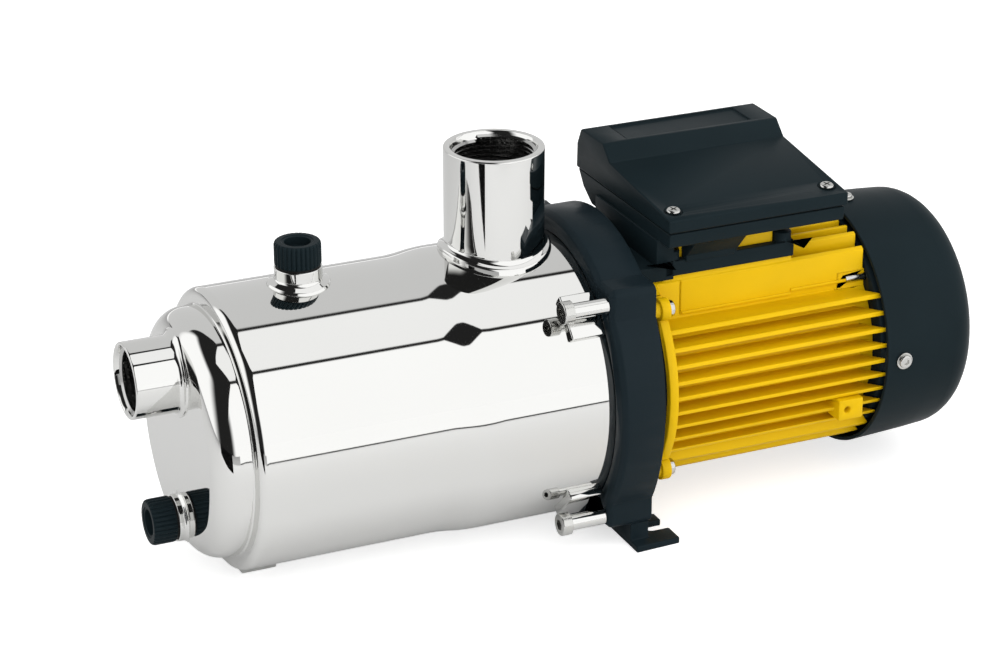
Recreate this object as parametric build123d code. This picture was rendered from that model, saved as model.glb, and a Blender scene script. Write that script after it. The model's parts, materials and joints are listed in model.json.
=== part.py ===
from build123d import *
import math
import os

# Water pressure pump: a self-priming multistage pump close-coupled to a finned motor.
# Millimetres. The pump axis runs along X, suction at -X, fan at +X, +Z up.
# Everything is drawn from a datum on the axis at the casing's front shoulder,
# then moved so that the origin is under the middle of the bounding box.

# Placing
axis_height = 76.0
length_centre = 174.8

# Running fits and seats
running_gap = 0.05
seat_gap = 0.05
soft_gap = 0.1

# Casing
casing_radius = 70.0
casing_rear_radius = 72.0
casing_wall = 1.5
casing_step_start = 101.5
casing_step_end = 116.0
casing_step_rounding = 80.0
casing_end = 188.0
cap_radius = 62.0
cap_face = -21.0
cap_shoulder = 13.0
cap_root = -2.5
casing_shoulder = 4.5

# Suction and discharge sockets
suction_face = -45.4
suction_height = 33.6
suction_outer = 19.0
suction_bore = 15.15
suction_inner_end = -17.0
suction_collar = 21.5
discharge_x = 147.0
discharge_top = 124.5
discharge_outer = 25.0
discharge_bore = 19.5
discharge_collar = 28.0
collar_height = 4.0
mouth_chamfer = 1.2

# Filler and drain ports
filler_x = 43.8
filler_boss_top = 78.6
drain_height = -43.5
drain_boss_face = -24.9
port_boss_radius = 11.8
port_collar_radius = 15.5
port_collar_height = 2.2
port_bore = 8.4
plug_cap_radius = 11.5
plug_cap_height = 11.7
plug_shank_length = 8.5
plug_socket_radius = 6.5
plug_socket_depth = 5.0
plug_flutes = 20
flute_radius = 0.9
plug_ring_section = 1.0

# Front foot
front_foot_x = 6.0
front_foot_length = 18.0
front_foot_width = 21.0
front_foot_sheet = 2.0

# Hydraulic stages
stage_count = 4
stage_start = 52.0
stage_pitch = 26.0
stage_radius = 58.0
stage_wall = 1.5
eye_radius = 17.0
impeller_radius = 52.0
impeller_width = 7.0
impeller_shroud = 1.5
impeller_vanes = 6
impeller_vane_wall = 1.8
impeller_vane_radius = 36.0
diffuser_vanes = 8
diffuser_vane_wall = 1.6
diffuser_vane_depth = 8.0
hub_radius = 10.0
guide_cone_end = 42.0
guide_sheet = 1.5

# Shaft seal
seal_plate_face = casing_end - 4.0
seal_hub_radius = 18.0
seal_hub_face = casing_end - 16.0
seal_seat_radius = 14.0
seal_seat_width = 7.0
seal_head_width = 8.0
seal_head_radius = 12.0
seal_spring_wire = 0.7
seal_ring_section = 1.45

# Shaft and bearings
shaft_front = 44.0
pump_shaft_radius = 7.0
bearing_bore = 7.5
bearing_outer = 17.5
bearing_width = 11.0
front_bearing_x = casing_end + 9.0
rear_bearing_x = front_bearing_x + 141.5
shaft_shoulder = 10.0
fan_seat_radius = 6.0
shaft_end = rear_bearing_x + 41.5
ball_radius = 3.0
ball_count = 7

# Motor bracket
bracket_front = casing_end - 8.0
bracket_rear = bracket_front + 26.0
bracket_radius = 82.0
bracket_edge = 2.4
bracket_half_width = 65.5
bracket_lug_top = 65.5
bracket_lug_bottom = -63.0
bracket_corner = 4.0
bracket_bottom = -75.0
bracket_pocket = 58.0
bracket_plate = 5.0
bracket_hub_radius = 24.0
bracket_rib = 5.0
bracket_rib_count = 6

# Bracket feet
foot_x = bracket_front + 14.0
foot_length = 26.0
foot_inner = 40.0
foot_outer = 70.6
foot_thickness = 3.5
foot_web_length = 10.0
foot_web_inner = 46.0
foot_web_outer = 63.0
foot_slot_y = 52.5
foot_slot_x = foot_x + 18.0
foot_slot_radius = 4.5

# Casing screws and sleeves
casing_screw_y = 60.0
casing_screw_z = 57.0
screw_head_face = bracket_front - 32.0
screw_head_radius = 5.2
screw_head_height = 6.0
screw_radius = 3.0
screw_reach = 16.0
sleeve_radius = 3.9
bridge_width = 20.0
bridge_sheet = 1.5

# Motor frame
frame_front = bracket_rear
flange_rear = frame_front + 12.0
flange_radius = 66.0
flange_groove_radius = 61.5
flange_groove_start = frame_front + 2.5
flange_groove_end = frame_front + 7.0
frame_rear = frame_front + 131.0
frame_bore = 48.0
frame_wall = 3.5
fin_pitch = 8.1
fin_wall = 2.2
side_fins = 9
fin_envelope = 62.0
fin_end = frame_rear - 1.0
fin_end_slope = 7.0
top_fin_pitch = 8.4
top_fins = 10
top_envelope = 66.0
top_fin_height = 60.0
bottom_fin_pitch = 9.0
bottom_fins = 11
flange_screw_circle = 70.0
flange_screw_angles = (44.0, 136.0, 216.0, 324.0)
flange_lobe_radius = 7.0
flange_screw_radius = 3.0
earth_boss_x = frame_rear - 25.0
earth_boss_length = 14.0
earth_boss_top = -18.0
earth_boss_height = 11.0
earth_boss_face = 62.5
earth_hole_radius = 1.75

# Stator and rotor
stator_front = frame_front + 37.0
stator_length = 75.0
stator_bore = 27.0
stator_slots = 24
slot_depth = 11.0
slot_width = 3.0
winding_overhang = 15.0
winding_inner = 30.0
winding_outer = 45.0
air_gap = 0.4
end_ring_length = 8.0

# Rear shield
shield_plate = 5.0
shield_radius = 60.0
shield_hub_radius = 22.0
shield_rear = frame_rear + 14.0
shield_arm_width = 12.0
shield_screw_circle = 54.0

# Fan and fan cover
fan_x = shaft_end - 18.0
fan_hub_radius = 11.0
fan_radius = 53.0
fan_disc = 2.5
fan_depth = 15.0
fan_blades = 8
fan_blade_wall = 2.0
cover_front = frame_rear + 0.5
cover_rear = cover_front + 57.5
cover_front_radius = 66.0
cover_rear_radius = 62.9
cover_wall = 2.0
cover_corner = 17.0
cover_screw_x = cover_front + 9.5
grille_inner = 13.0
grille_slot = 5.0
grille_bar = 4.0
grille_rings = 4
grille_spokes = 6
grille_spoke = 4.0

# Terminal box
box_x = flange_rear - 1.0
box_length = 100.0
box_front = -53.0
box_joint = 84.4
box_gasket = 0.9
box_lip = 92.0
box_slope_top = 100.0
box_slope_back = 14.0
box_top = 107.5
box_top_front = 22.0
box_top_back = 48.0
box_back = 53.0
box_back_top = 98.5
box_wall = 2.5
box_floor = 77.0
box_well = 70.0
box_well_front = 14.0
box_well_back = 36.4
box_inset = 2.0
seat_x = box_x + 5.0
seat_length = 72.5
seat_front = -40.0
seat_back = 30.0
seat_bottom = 57.0
seat_top = 65.0
seat_wall = 4.7
seat_post_radius = 4.7
seat_post_top = 70.0
column_x = box_x + 16.0
column_length = 29.0
pad_top = 74.0
pad_back = 5.0
wire_hole_y = -2.5
wire_hole_radius = 5.0
lid_screw_inset = 7.0
lid_screw_y = -43.0
lid_screw_head = 3.6
lid_screw_radius = 1.9
top_recess_x = box_x + 15.0
top_recess_length = 71.0
top_recess_front = 25.0
top_recess_back = 45.0
top_recess_depth = 1.0
tower_x = box_x + box_length - 28.0
tower_length = 26.0
tower_depth = 14.0
tower_wall = 7.0
tower_top = 97.0
tower_bottom = 73.0
tower_overhang = 3.0
gland_height = 85.5
gland_thread = 7.8
gland_hex = 19.0
gland_bore = 4.0
gland_length = 13.0

# Capacitor and terminal block
capacitor_x = box_x + 7.0
capacitor_length = 62.0
capacitor_radius = 14.0
capacitor_y = 33.5
capacitor_height = 88.5
block_x = box_x + 19.0
block_length = 46.0
block_width = 20.0
block_height = 9.0
block_y = -19.0
stud_count = 3
stud_radius = 2.0
stud_height = 5.5


def revolved(points, radii=None):
    """A solid of revolution about X from (x, radius) corners."""
    if radii is None:
        outline = Polyline(*points, close=True)
    else:
        outline = FilletPolyline(*points, radius=radii, close=True)
    face = make_face(Plane.XZ * outline)
    return revolve(face, axis=Axis.X, revolution_arc=360)


def rod(x_start, x_end, radius, y=0.0, z=0.0):
    """A cylinder along X."""
    body = Cylinder(radius, x_end - x_start, align=(Align.CENTER, Align.CENTER, Align.MIN))
    return Pos(x_start, y, z) * Rot(0, 90, 0) * body


def tube(x_start, x_end, outer, inner, y=0.0, z=0.0):
    """A hollow cylinder along X."""
    return rod(x_start, x_end, outer, y, z) - rod(x_start - 1, x_end + 1, inner, y, z)


def post(z_start, z_end, radius, x=0.0, y=0.0):
    """A cylinder along Z."""
    body = Cylinder(radius, z_end - z_start, align=(Align.CENTER, Align.CENTER, Align.MIN))
    return Pos(x, y, z_start) * body


def block(x, y, z, length, width, height):
    """A box from its lowest corner."""
    return Pos(x, y, z) * Box(length, width, height, align=(Align.MIN, Align.MIN, Align.MIN))


def ring_x(x, major, minor):
    """A round-section ring about X."""
    return Pos(x, 0, 0) * Rot(0, 90, 0) * Torus(major, minor)


def around_x(shape, angle):
    """The shape turned about the pump axis."""
    return shape.rotate(Axis.X, angle)


parts = {}


def keep(name, *shapes):
    """Store a node as its separate solids."""
    solids = []
    for shape in shapes:
        solids.extend(shape.solids())
    parts[name] = solids


# Casing: deep-drawn shell with a stepped barrel and a domed suction end
outer_corners = [
    (cap_face, 0),
    (cap_face, cap_radius),
    (cap_root, cap_radius),
    (cap_root, casing_radius),
    (casing_step_start, casing_radius),
    (casing_step_end, casing_rear_radius),
    (casing_end, casing_rear_radius),
    (casing_end, 0),
]
outer_radii = [0, cap_shoulder, 2.0, casing_shoulder, casing_step_rounding, casing_step_rounding, 0, 0]
inner_corners = [
    (cap_face + casing_wall, 0),
    (cap_face + casing_wall, cap_radius - casing_wall),
    (cap_root + casing_wall, cap_radius - casing_wall),
    (cap_root + casing_wall, casing_radius - casing_wall),
    (casing_step_start, casing_radius - casing_wall),
    (casing_step_end, casing_rear_radius - casing_wall),
    (casing_end + 1, casing_rear_radius - casing_wall),
    (casing_end + 1, 0),
]
inner_radii = [
    0,
    cap_shoulder - casing_wall,
    3.5,
    casing_shoulder - casing_wall,
    casing_step_rounding,
    casing_step_rounding,
    0,
    0,
]
casing_outside = revolved(outer_corners, outer_radii)
casing_inside = revolved(inner_corners, inner_radii)
casing = casing_outside - casing_inside
casing -= rod(cap_face - 5, 5, suction_outer + seat_gap, 0, suction_height)
casing -= post(50, 90, discharge_bore, discharge_x, 0)
casing -= post(50, 90, port_bore, filler_x, 0)
casing -= rod(cap_face - 5, 0, port_bore, 0, drain_height)
keep("pump_casing", casing)

# Suction socket, welded through the domed end
suction = rod(suction_face, suction_inner_end, suction_outer, 0, suction_height)
collar = rod(cap_face - collar_height, cap_face + 6, suction_collar, 0, suction_height)
collar = chamfer(collar.edges().sort_by(Axis.X)[0], suction_collar - suction_outer - 0.1)
suction += collar - casing_outside
suction -= rod(suction_face - 1, suction_inner_end + 1, suction_bore, 0, suction_height)
suction -= Pos(suction_face, 0, suction_height) * Rot(0, 90, 0) * Cone(
    suction_bore + mouth_chamfer,
    suction_bore,
    mouth_chamfer,
    align=(Align.CENTER, Align.CENTER, Align.MIN),
)
keep("suction_socket", suction)

# Discharge socket, saddled on the barrel
discharge = post(60, discharge_top, discharge_outer, discharge_x, 0)
saddle = post(60, casing_rear_radius + collar_height, discharge_collar, discharge_x, 0)
saddle = chamfer(saddle.edges().sort_by(Axis.Z)[-1], discharge_collar - discharge_outer - 0.1)
discharge = discharge + saddle
discharge -= rod(90, 200, casing_rear_radius + seat_gap)
discharge -= post(50, discharge_top + 1, discharge_bore, discharge_x, 0)
discharge -= Pos(discharge_x, 0, discharge_top - mouth_chamfer) * Cone(
    discharge_bore,
    discharge_bore + mouth_chamfer,
    mouth_chamfer,
    align=(Align.CENTER, Align.CENTER, Align.MIN),
)
keep("discharge_socket", discharge)

# Filler boss on top of the barrel
filler_boss = post(60, filler_boss_top, port_boss_radius, filler_x, 0)
filler_collar = post(60, casing_radius + port_collar_height, port_collar_radius, filler_x, 0)
filler_collar = chamfer(filler_collar.edges().sort_by(Axis.Z)[-1], 1.8)
filler_boss = filler_boss + filler_collar - rod(0, 100, casing_radius + seat_gap)
filler_boss -= post(50, 100, port_bore, filler_x, 0)
keep("filler_boss", filler_boss)

# Drain boss low on the suction end
drain_boss = rod(drain_boss_face, 0, port_boss_radius, 0, drain_height)
drain_boss -= casing_outside
drain_boss -= rod(drain_boss_face - 1, 1, port_bore, 0, drain_height)
keep("drain_boss", drain_boss)


def screw_plug():
    """A fluted cap with a driving socket and a plain shank, cap upwards from z = 0."""
    cap = post(0, plug_cap_height, plug_cap_radius)
    cap = fillet(cap.edges().sort_by(Axis.Z)[-1], 1.5)
    for index in range(plug_flutes):
        angle = 360 / plug_flutes * index
        flute = post(-1, plug_cap_height + 1, flute_radius, plug_cap_radius + 0.35, 0)
        cap -= Rot(0, 0, angle) * flute
    cap -= post(plug_cap_height - plug_socket_depth, plug_cap_height + 1, plug_socket_radius)
    cap += post(-plug_shank_length, 0, port_bore - soft_gap)
    return cap


def plug_ring():
    """The sealing ring under a plug, its top face at z = 0."""
    outer = port_bore + 2.4
    ring = post(-plug_ring_section, 0, outer) - post(-plug_ring_section - 1, 1, port_bore - soft_gap + 0.1)
    return ring


filler_seat = filler_boss_top + plug_ring_section
keep("filler_plug", Pos(filler_x, 0, filler_seat) * screw_plug())
keep("filler_ring", Pos(filler_x, 0, filler_seat) * plug_ring())
drain_seat = drain_boss_face - plug_ring_section
keep("drain_plug", Pos(drain_seat, 0, drain_height) * Rot(0, -90, 0) * screw_plug())
keep("drain_ring", Pos(drain_seat, 0, drain_height) * Rot(0, -90, 0) * plug_ring())

# Front foot: a folded sheet saddle under the barrel
foot_base = -axis_height
foot_box = block(front_foot_x, -front_foot_width / 2, foot_base, front_foot_length, front_foot_width, 14)
foot_hollow = block(
    front_foot_x - 1,
    -front_foot_width / 2 + front_foot_sheet,
    foot_base + front_foot_sheet,
    front_foot_length + 2,
    front_foot_width - 2 * front_foot_sheet,
    14,
)
front_foot = foot_box - foot_hollow - rod(0, 60, casing_radius + seat_gap)
keep("front_foot", front_foot)

# Inlet guide: a dished plate that leads the water into the first stage
guide_corners = [
    (guide_cone_end, eye_radius + 1),
    (stage_start - guide_sheet, stage_radius - 8),
    (stage_start - guide_sheet, stage_radius),
    (stage_start, stage_radius),
    (stage_start, stage_radius - 8),
    (guide_cone_end + guide_sheet + 0.5, eye_radius + 1),
]
inlet_guide = revolved(guide_corners)
keep("inlet_guide", inlet_guide)


def impeller(x):
    """A closed impeller: two shrouds, an eye collar, a hub and swept vanes."""
    front = x + 2.0
    rear = front + impeller_width
    body = tube(front, front + impeller_shroud, impeller_radius, eye_radius - impeller_shroud)
    body += tube(front - 3.0, front + impeller_shroud, eye_radius, eye_radius - impeller_shroud)
    body += tube(rear - impeller_shroud, rear, impeller_radius, pump_shaft_radius + running_gap)
    body += tube(front, rear + 4.0, hub_radius, pump_shaft_radius + running_gap)
    sweep_centre = Vector(impeller_radius * 0.5, impeller_vane_radius * 0.62)
    disc = Pos(0, 0, 0) * Circle(impeller_vane_radius)
    disc -= Circle(impeller_vane_radius - impeller_vane_wall)
    crescent = Pos(sweep_centre.X, sweep_centre.Y) * disc
    annulus = Circle(impeller_radius) - Circle(eye_radius + 1)
    half = Pos(impeller_radius / 2 + 2, -impeller_radius / 2) * Rectangle(impeller_radius + 4, impeller_radius + 4)
    vane_face = crescent & annulus & half
    vane = extrude(Plane.YZ.offset(front + impeller_shroud) * vane_face, impeller_width - 2 * impeller_shroud)
    for index in range(impeller_vanes):
        body += around_x(vane, 360 / impeller_vanes * index)
    return body


def diffuser(x):
    """A stage bowl: an outer wall, a division plate and guide vanes behind it."""
    wall_end = x + stage_pitch - 0.1
    plate = x + 12.0
    body = tube(x, wall_end, stage_radius, stage_radius - stage_wall)
    body += tube(plate, plate + stage_wall, stage_radius - stage_wall, hub_radius + 1.0)
    vane = block(
        plate + stage_wall,
        hub_radius + 8,
        -diffuser_vane_wall / 2,
        diffuser_vane_depth,
        stage_radius - hub_radius - 12,
        diffuser_vane_wall,
    )
    vane = vane.rotate(Axis((0, hub_radius + 8, 0), (1, 0, 0)), 28)
    vane &= rod(plate, plate + 20, stage_radius - stage_wall)
    for index in range(diffuser_vanes):
        body += around_x(vane, 360 / diffuser_vanes * index)
    front_plate = tube(x, x + stage_wall, stage_radius - stage_wall, eye_radius + 0.3)
    return body + front_plate


for stage in range(stage_count):
    stage_x = stage_start + stage * stage_pitch
    keep(f"impeller_{stage + 1}", impeller(stage_x + stage_wall))
    keep(f"diffuser_{stage + 1}", diffuser(stage_x))

# Spacer sleeves between the hubs, and the nut on the shaft's front end
hub_end = 2.0 + impeller_width + 4.0 + stage_wall
sleeves = []
for stage in range(stage_count - 1):
    sleeve_start = stage_start + stage * stage_pitch + hub_end
    sleeve_stop = stage_start + (stage + 1) * stage_pitch + stage_wall + 2.0
    sleeves.append(tube(sleeve_start, sleeve_stop, hub_radius - 0.5, pump_shaft_radius + running_gap))
last_hub = stage_start + (stage_count - 1) * stage_pitch + hub_end
keep("stage_spacers", *sleeves)
nut_end = stage_start + stage_wall + 2.0
nut = extrude(Plane.YZ.offset(nut_end - 7) * RegularPolygon(11, 6), 7)
keep("impeller_nut", nut - rod(nut_end - 8, nut_end + 1, pump_shaft_radius + running_gap))

# Shaft seal: plate, stationary seat, rotating head and spring
plate_corners = [
    (seal_plate_face, seal_hub_radius),
    (seal_hub_face, seal_hub_radius),
    (seal_hub_face, seal_seat_radius + seat_gap),
    (seal_hub_face + seal_seat_width + 1, seal_seat_radius + seat_gap),
    (seal_hub_face + seal_seat_width + 1, pump_shaft_radius + 2),
    (casing_end, pump_shaft_radius + 2),
    (casing_end, casing_rear_radius - casing_wall - seat_gap),
    (casing_end - 8, casing_rear_radius - casing_wall - seat_gap),
    (casing_end - 8, casing_rear_radius - casing_wall - 5),
    (seal_plate_face, casing_rear_radius - casing_wall - 5),
]
seal_plate = revolved(plate_corners)
groove_x = casing_end - 4.0
rim_radius = casing_rear_radius - casing_wall - seat_gap
groove = tube(groove_x - 1.6, groove_x + 1.6, rim_radius + 1, rim_radius - 3.1)
keep("seal_plate", seal_plate - groove)
ring_centre = rim_radius - seal_ring_section - 0.05
keep("casing_ring", ring_x(groove_x, ring_centre, seal_ring_section))
seal_seat_x = seal_hub_face - 0.5
keep("seal_seat", tube(seal_seat_x, seal_hub_face + seal_seat_width + 0.5, seal_seat_radius, pump_shaft_radius + 1.2))
head_end = seal_seat_x
head_start = head_end - seal_head_width
keep("seal_head", tube(head_start, head_end, seal_head_radius, pump_shaft_radius + running_gap))
spring_length = head_start - last_hub - 1.0
spring_turns = 3
spring_pitch = (spring_length - 2 * seal_spring_wire) / spring_turns
spring_radius = pump_shaft_radius + 2.0
spring_path = Helix(pitch=spring_pitch, height=spring_pitch * spring_turns, radius=spring_radius)
spring_section = Plane(origin=spring_path @ 0, z_dir=spring_path % 0) * Circle(seal_spring_wire)
spring = sweep(spring_section, path=spring_path)
spring_origin = last_hub + 0.5 + seal_spring_wire
keep("seal_spring", Pos(spring_origin, 0, 0) * Rot(0, 90, 0) * spring)

# Shaft: stepped, with a shoulder at each bearing
shaft_corners = [
    (shaft_front, 0),
    (shaft_front, pump_shaft_radius),
    (front_bearing_x - 4, pump_shaft_radius),
    (front_bearing_x - 4, bearing_bore),
    (front_bearing_x + bearing_width, bearing_bore),
    (front_bearing_x + bearing_width, shaft_shoulder),
    (rear_bearing_x, shaft_shoulder),
    (rear_bearing_x, bearing_bore),
    (rear_bearing_x + bearing_width, bearing_bore),
    (rear_bearing_x + bearing_width, fan_seat_radius),
    (shaft_end, fan_seat_radius),
    (shaft_end, 0),
]
keep("shaft", revolved(shaft_corners))


def bearing(name, x):
    """A deep-groove ball bearing: two rings and a caged ball set."""
    pitch_radius = (bearing_bore + bearing_outer) / 2
    middle = x + bearing_width / 2
    track = ball_radius + running_gap
    groove_ring = ring_x(middle, pitch_radius, track)
    outer = tube(x, x + bearing_width, bearing_outer, pitch_radius + 1.6) - groove_ring
    inner = tube(x, x + bearing_width, pitch_radius - 1.6, bearing_bore + 0.01) - groove_ring
    keep(f"{name}_outer_ring", outer)
    keep(f"{name}_inner_ring", inner)
    balls = []
    for index in range(ball_count):
        ball = Pos(middle, pitch_radius, 0) * Sphere(ball_radius)
        balls.append(around_x(ball, 360 / ball_count * index))
    cage = tube(middle - 0.9, middle + 0.9, pitch_radius + 1.2, pitch_radius - 1.2)
    for ball in balls:
        cage += ball
    keep(f"{name}_ball_cage", cage)


bearing("front_bearing", front_bearing_x)
bearing("rear_bearing", rear_bearing_x)

# Motor bracket: ring with corner lugs, a bearing hub on ribs, and two feet
disc = rod(bracket_front, bracket_rear, bracket_radius)
disc = chamfer(disc.edges().sort_by(Axis.X)[0], bracket_edge)
lug_height = bracket_lug_top - bracket_lug_bottom
lug_middle = (bracket_lug_top + bracket_lug_bottom) / 2
lug_outline = Pos(0, lug_middle) * RectangleRounded(2 * bracket_half_width, lug_height, bracket_corner)
lugs = extrude(Plane.YZ.offset(bracket_front) * lug_outline, bracket_rear - bracket_front)
lugs = chamfer(lugs.faces().sort_by(Axis.X)[0].edges(), bracket_edge)
bracket = disc + lugs
bracket -= block(bracket_front - 1, -100, bracket_bottom - 50, 40, 200, 50)
bracket -= rod(bracket_front - 1, casing_end, casing_rear_radius + seat_gap)
pocket_start = casing_end + bracket_plate
bracket -= rod(pocket_start, bracket_rear + 1, bracket_pocket)
bracket += rod(pocket_start - 1, bracket_rear + 3, bracket_hub_radius)
for index in range(bracket_rib_count):
    rib = block(
        pocket_start - 1,
        bracket_hub_radius - 2,
        -bracket_rib / 2,
        8,
        bracket_pocket - bracket_hub_radius + 4,
        bracket_rib,
    )
    bracket += around_x(rib, 360 / bracket_rib_count * index)
bracket -= rod(front_bearing_x, bracket_rear + 4, bearing_outer + 0.01)
bracket -= rod(casing_end - 1, bracket_rear, bearing_bore + 5)
for side in (-1, 1):
    plate_y = foot_inner if side > 0 else -foot_outer
    plate = block(foot_x, plate_y, -axis_height, foot_length, foot_outer - foot_inner, foot_thickness)
    web_y = foot_web_inner if side > 0 else -foot_web_outer
    web_width = foot_web_outer - foot_web_inner
    web_height = bracket_lug_bottom + axis_height + 2
    bracket += plate
    bracket += block(foot_x, web_y, -axis_height, foot_web_length, web_width, web_height)
    slot = post(-axis_height - 1, -axis_height + 8, foot_slot_radius, foot_slot_x, side * foot_slot_y)
    slot += block(
        foot_slot_x,
        side * foot_slot_y - foot_slot_radius,
        -axis_height - 1,
        20,
        2 * foot_slot_radius,
        8,
    )
    bracket -= slot
lug_spots = []
for y_side in (-1, 1):
    for z_side in (-1, 1):
        lug_spots.append((y_side * casing_screw_y, z_side * casing_screw_z))
for y, z in lug_spots:
    bracket -= rod(bracket_front - 1, bracket_front + screw_reach + 1, screw_radius + seat_gap, y, z)
flange_spots = []
for angle in flange_screw_angles:
    spot_y = flange_screw_circle * math.cos(math.radians(angle))
    spot_z = flange_screw_circle * math.sin(math.radians(angle))
    flange_spots.append((spot_y, spot_z))
for y, z in flange_spots:
    bracket -= rod(bracket_rear - 11, bracket_rear + 1, flange_screw_radius + seat_gap, y, z)
keep("motor_bracket", bracket)

# Casing screws with their sleeves, at the four lugs
screws = []
sleeves = []
for y, z in lug_spots:
    head_end = screw_head_face + screw_head_height
    screw = rod(screw_head_face, head_end, screw_head_radius, y, z)
    screw += rod(head_end - 1, bracket_front + screw_reach, screw_radius, y, z)
    socket = extrude(Plane.YZ.offset(screw_head_face - 1) * Pos(y, z) * RegularPolygon(2.9, 6), 4)
    screws.append(screw - socket)
    sleeve = tube(head_end, bracket_front, sleeve_radius, screw_radius + seat_gap, y, z)
    reach = math.hypot(y, z) - sleeve_radius + 0.4
    bridge_length = bracket_front - head_end - 0.5
    bridge = block(head_end, 60, -bridge_width / 2, bridge_length, reach - 60, bridge_width)
    bridge -= block(
        head_end - 1,
        50,
        -bridge_width / 2 + bridge_sheet,
        bridge_length + 2,
        reach - 50 - bridge_sheet,
        bridge_width - 2 * bridge_sheet,
    )
    bridge = around_x(bridge, math.degrees(math.atan2(z, y)))
    sleeve = sleeve + bridge - rod(100, 200, casing_rear_radius + seat_gap)
    sleeve -= rod(100, 200, screw_radius + seat_gap, y, z)
    sleeves.append(sleeve)
keep("casing_screws", *screws)
keep("casing_screw_sleeves", *sleeves)

# Motor frame: flange, finned shell, terminal pad and earth boss
frame_outer = frame_bore + frame_wall
frame = rod(flange_rear - 8, frame_rear, frame_outer)
flange = rod(frame_front, flange_rear, flange_radius)
flange -= tube(flange_groove_start, flange_groove_end, flange_radius + 1, flange_groove_radius)
for y, z in flange_spots:
    flange += rod(flange_groove_end, flange_rear, flange_lobe_radius, y, z)
    flange += rod(frame_front, flange_groove_end + 1, 5.0, y, z)
frame += flange
fins = []
for index in range(side_fins):
    height = (index - (side_fins - 1) / 2) * fin_pitch
    fins.append(block(flange_rear - 1, -80, height - fin_wall / 2, fin_end - flange_rear + 1, 160, fin_wall))
for index in range(bottom_fins):
    offset = (index - (bottom_fins - 1) / 2) * bottom_fin_pitch
    fins.append(block(flange_rear - 1, offset - fin_wall / 2, -80, fin_end - flange_rear + 1, fin_wall, 80))
side_group = Part() + fins
side_group &= revolved(
    [
        (flange_rear - 1, 0),
        (flange_rear - 1, fin_envelope),
        (fin_end - fin_end_slope, fin_envelope),
        (fin_end, fin_envelope - fin_end_slope),
        (fin_end, 0),
    ]
)
tops = []
for index in range(top_fins):
    offset = (index - (top_fins - 1) / 2) * top_fin_pitch
    tops.append(block(flange_rear - 1, offset - fin_wall / 2, 0, fin_end - flange_rear + 1, fin_wall, top_fin_height))
top_group = Part() + tops
top_group &= rod(flange_rear - 1, fin_end, top_envelope)
frame = frame + side_group + top_group
frame -= block(seat_x - 0.3, seat_front - 0.3, seat_bottom, seat_length + 0.6, seat_back - seat_front + 0.6, 10)
frame += block(seat_x, seat_front + 2, 40, seat_length, seat_back - seat_front - 4, seat_bottom - 40)
pad_x = seat_x + seat_wall + 0.3
pad_length = seat_length - 2 * seat_wall - 0.6
pad_front = seat_front + seat_wall + 0.3
pad_low_depth = seat_back - seat_wall - 0.3 - pad_front
pad = block(pad_x, pad_front, seat_bottom - 1, pad_length, pad_low_depth, seat_top - seat_bottom + 1)
pad += block(pad_x, pad_front, seat_bottom - 1, pad_length, pad_back - pad_front, pad_top - seat_bottom + 1)
seat_post_x = (seat_x + 4.7, seat_x + seat_length - 4.7)
seat_post_y = seat_front + 4.7
for x in seat_post_x:
    pad -= post(seat_bottom, pad_top + 1, seat_post_radius + 0.3, x, seat_post_y)
frame += pad
frame += block(
    earth_boss_x,
    -earth_boss_face,
    earth_boss_top - earth_boss_height,
    earth_boss_length,
    earth_boss_face - 44,
    earth_boss_height,
)
frame -= rod(frame_front + 5, frame_rear + 1, frame_bore)
frame -= rod(frame_front - 1, frame_rear, bracket_hub_radius + 0.4)
for y, z in flange_spots:
    frame -= rod(frame_front - 1, flange_rear + 1, flange_screw_radius + 0.2, y, z)
earth_hole = Pos(earth_boss_x + 5, -earth_boss_face - 1, earth_boss_top - 5.5) * Rot(-90, 0, 0)
frame -= earth_hole * Cylinder(earth_hole_radius, 9, align=(Align.CENTER, Align.CENTER, Align.MIN))
wire_hole_x = column_x + column_length / 2
frame -= post(40, pad_top + 1, wire_hole_radius, wire_hole_x, wire_hole_y)
shield_spots = []
for angle in (45, 135, 225, 315):
    spot_y = shield_screw_circle * math.cos(math.radians(angle))
    spot_z = shield_screw_circle * math.sin(math.radians(angle))
    shield_spots.append((spot_y, spot_z))
for y, z in shield_spots:
    boss = rod(frame_rear - 16, frame_rear, 4.5, y, z) - rod(frame_front, frame_rear + 1, frame_bore)
    frame += boss
    frame -= rod(frame_rear - 12, frame_rear + 1, 2.05, y, z)
keep("motor_frame", frame)

# Flange screws, driven from the motor side
flange_screws = []
for y, z in flange_spots:
    screw = rod(flange_rear, flange_rear + 4, 5.0, y, z)
    screw += rod(bracket_rear - 10, flange_rear + 1, flange_screw_radius, y, z)
    socket = extrude(Plane.YZ.offset(flange_rear + 2) * Pos(y, z) * RegularPolygon(2.9, 6), 4)
    flange_screws.append(screw - socket)
keep("flange_screws", *flange_screws)

# Stator: laminated core with open slots, and its two winding heads
core = tube(stator_front, stator_front + stator_length, frame_bore - 0.01, stator_bore)
for index in range(stator_slots):
    cut = block(
        stator_front - 1,
        stator_bore - 1,
        -slot_width / 2,
        stator_length + 2,
        slot_depth + 1,
        slot_width,
    )
    core -= around_x(cut, 360 / stator_slots * index)
keep("stator_core", core)
stator_rear = stator_front + stator_length
heads = []
for x in (stator_front - winding_overhang, stator_rear):
    head = tube(x, x + winding_overhang, winding_outer, winding_inner)
    far_edges = head.edges().filter_by(GeomType.CIRCLE)
    far_edges = far_edges.group_by(Axis.X)[0 if x < stator_front else -1]
    heads.append(fillet(far_edges, 4.0))
keep("stator_windings", *heads)

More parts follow.
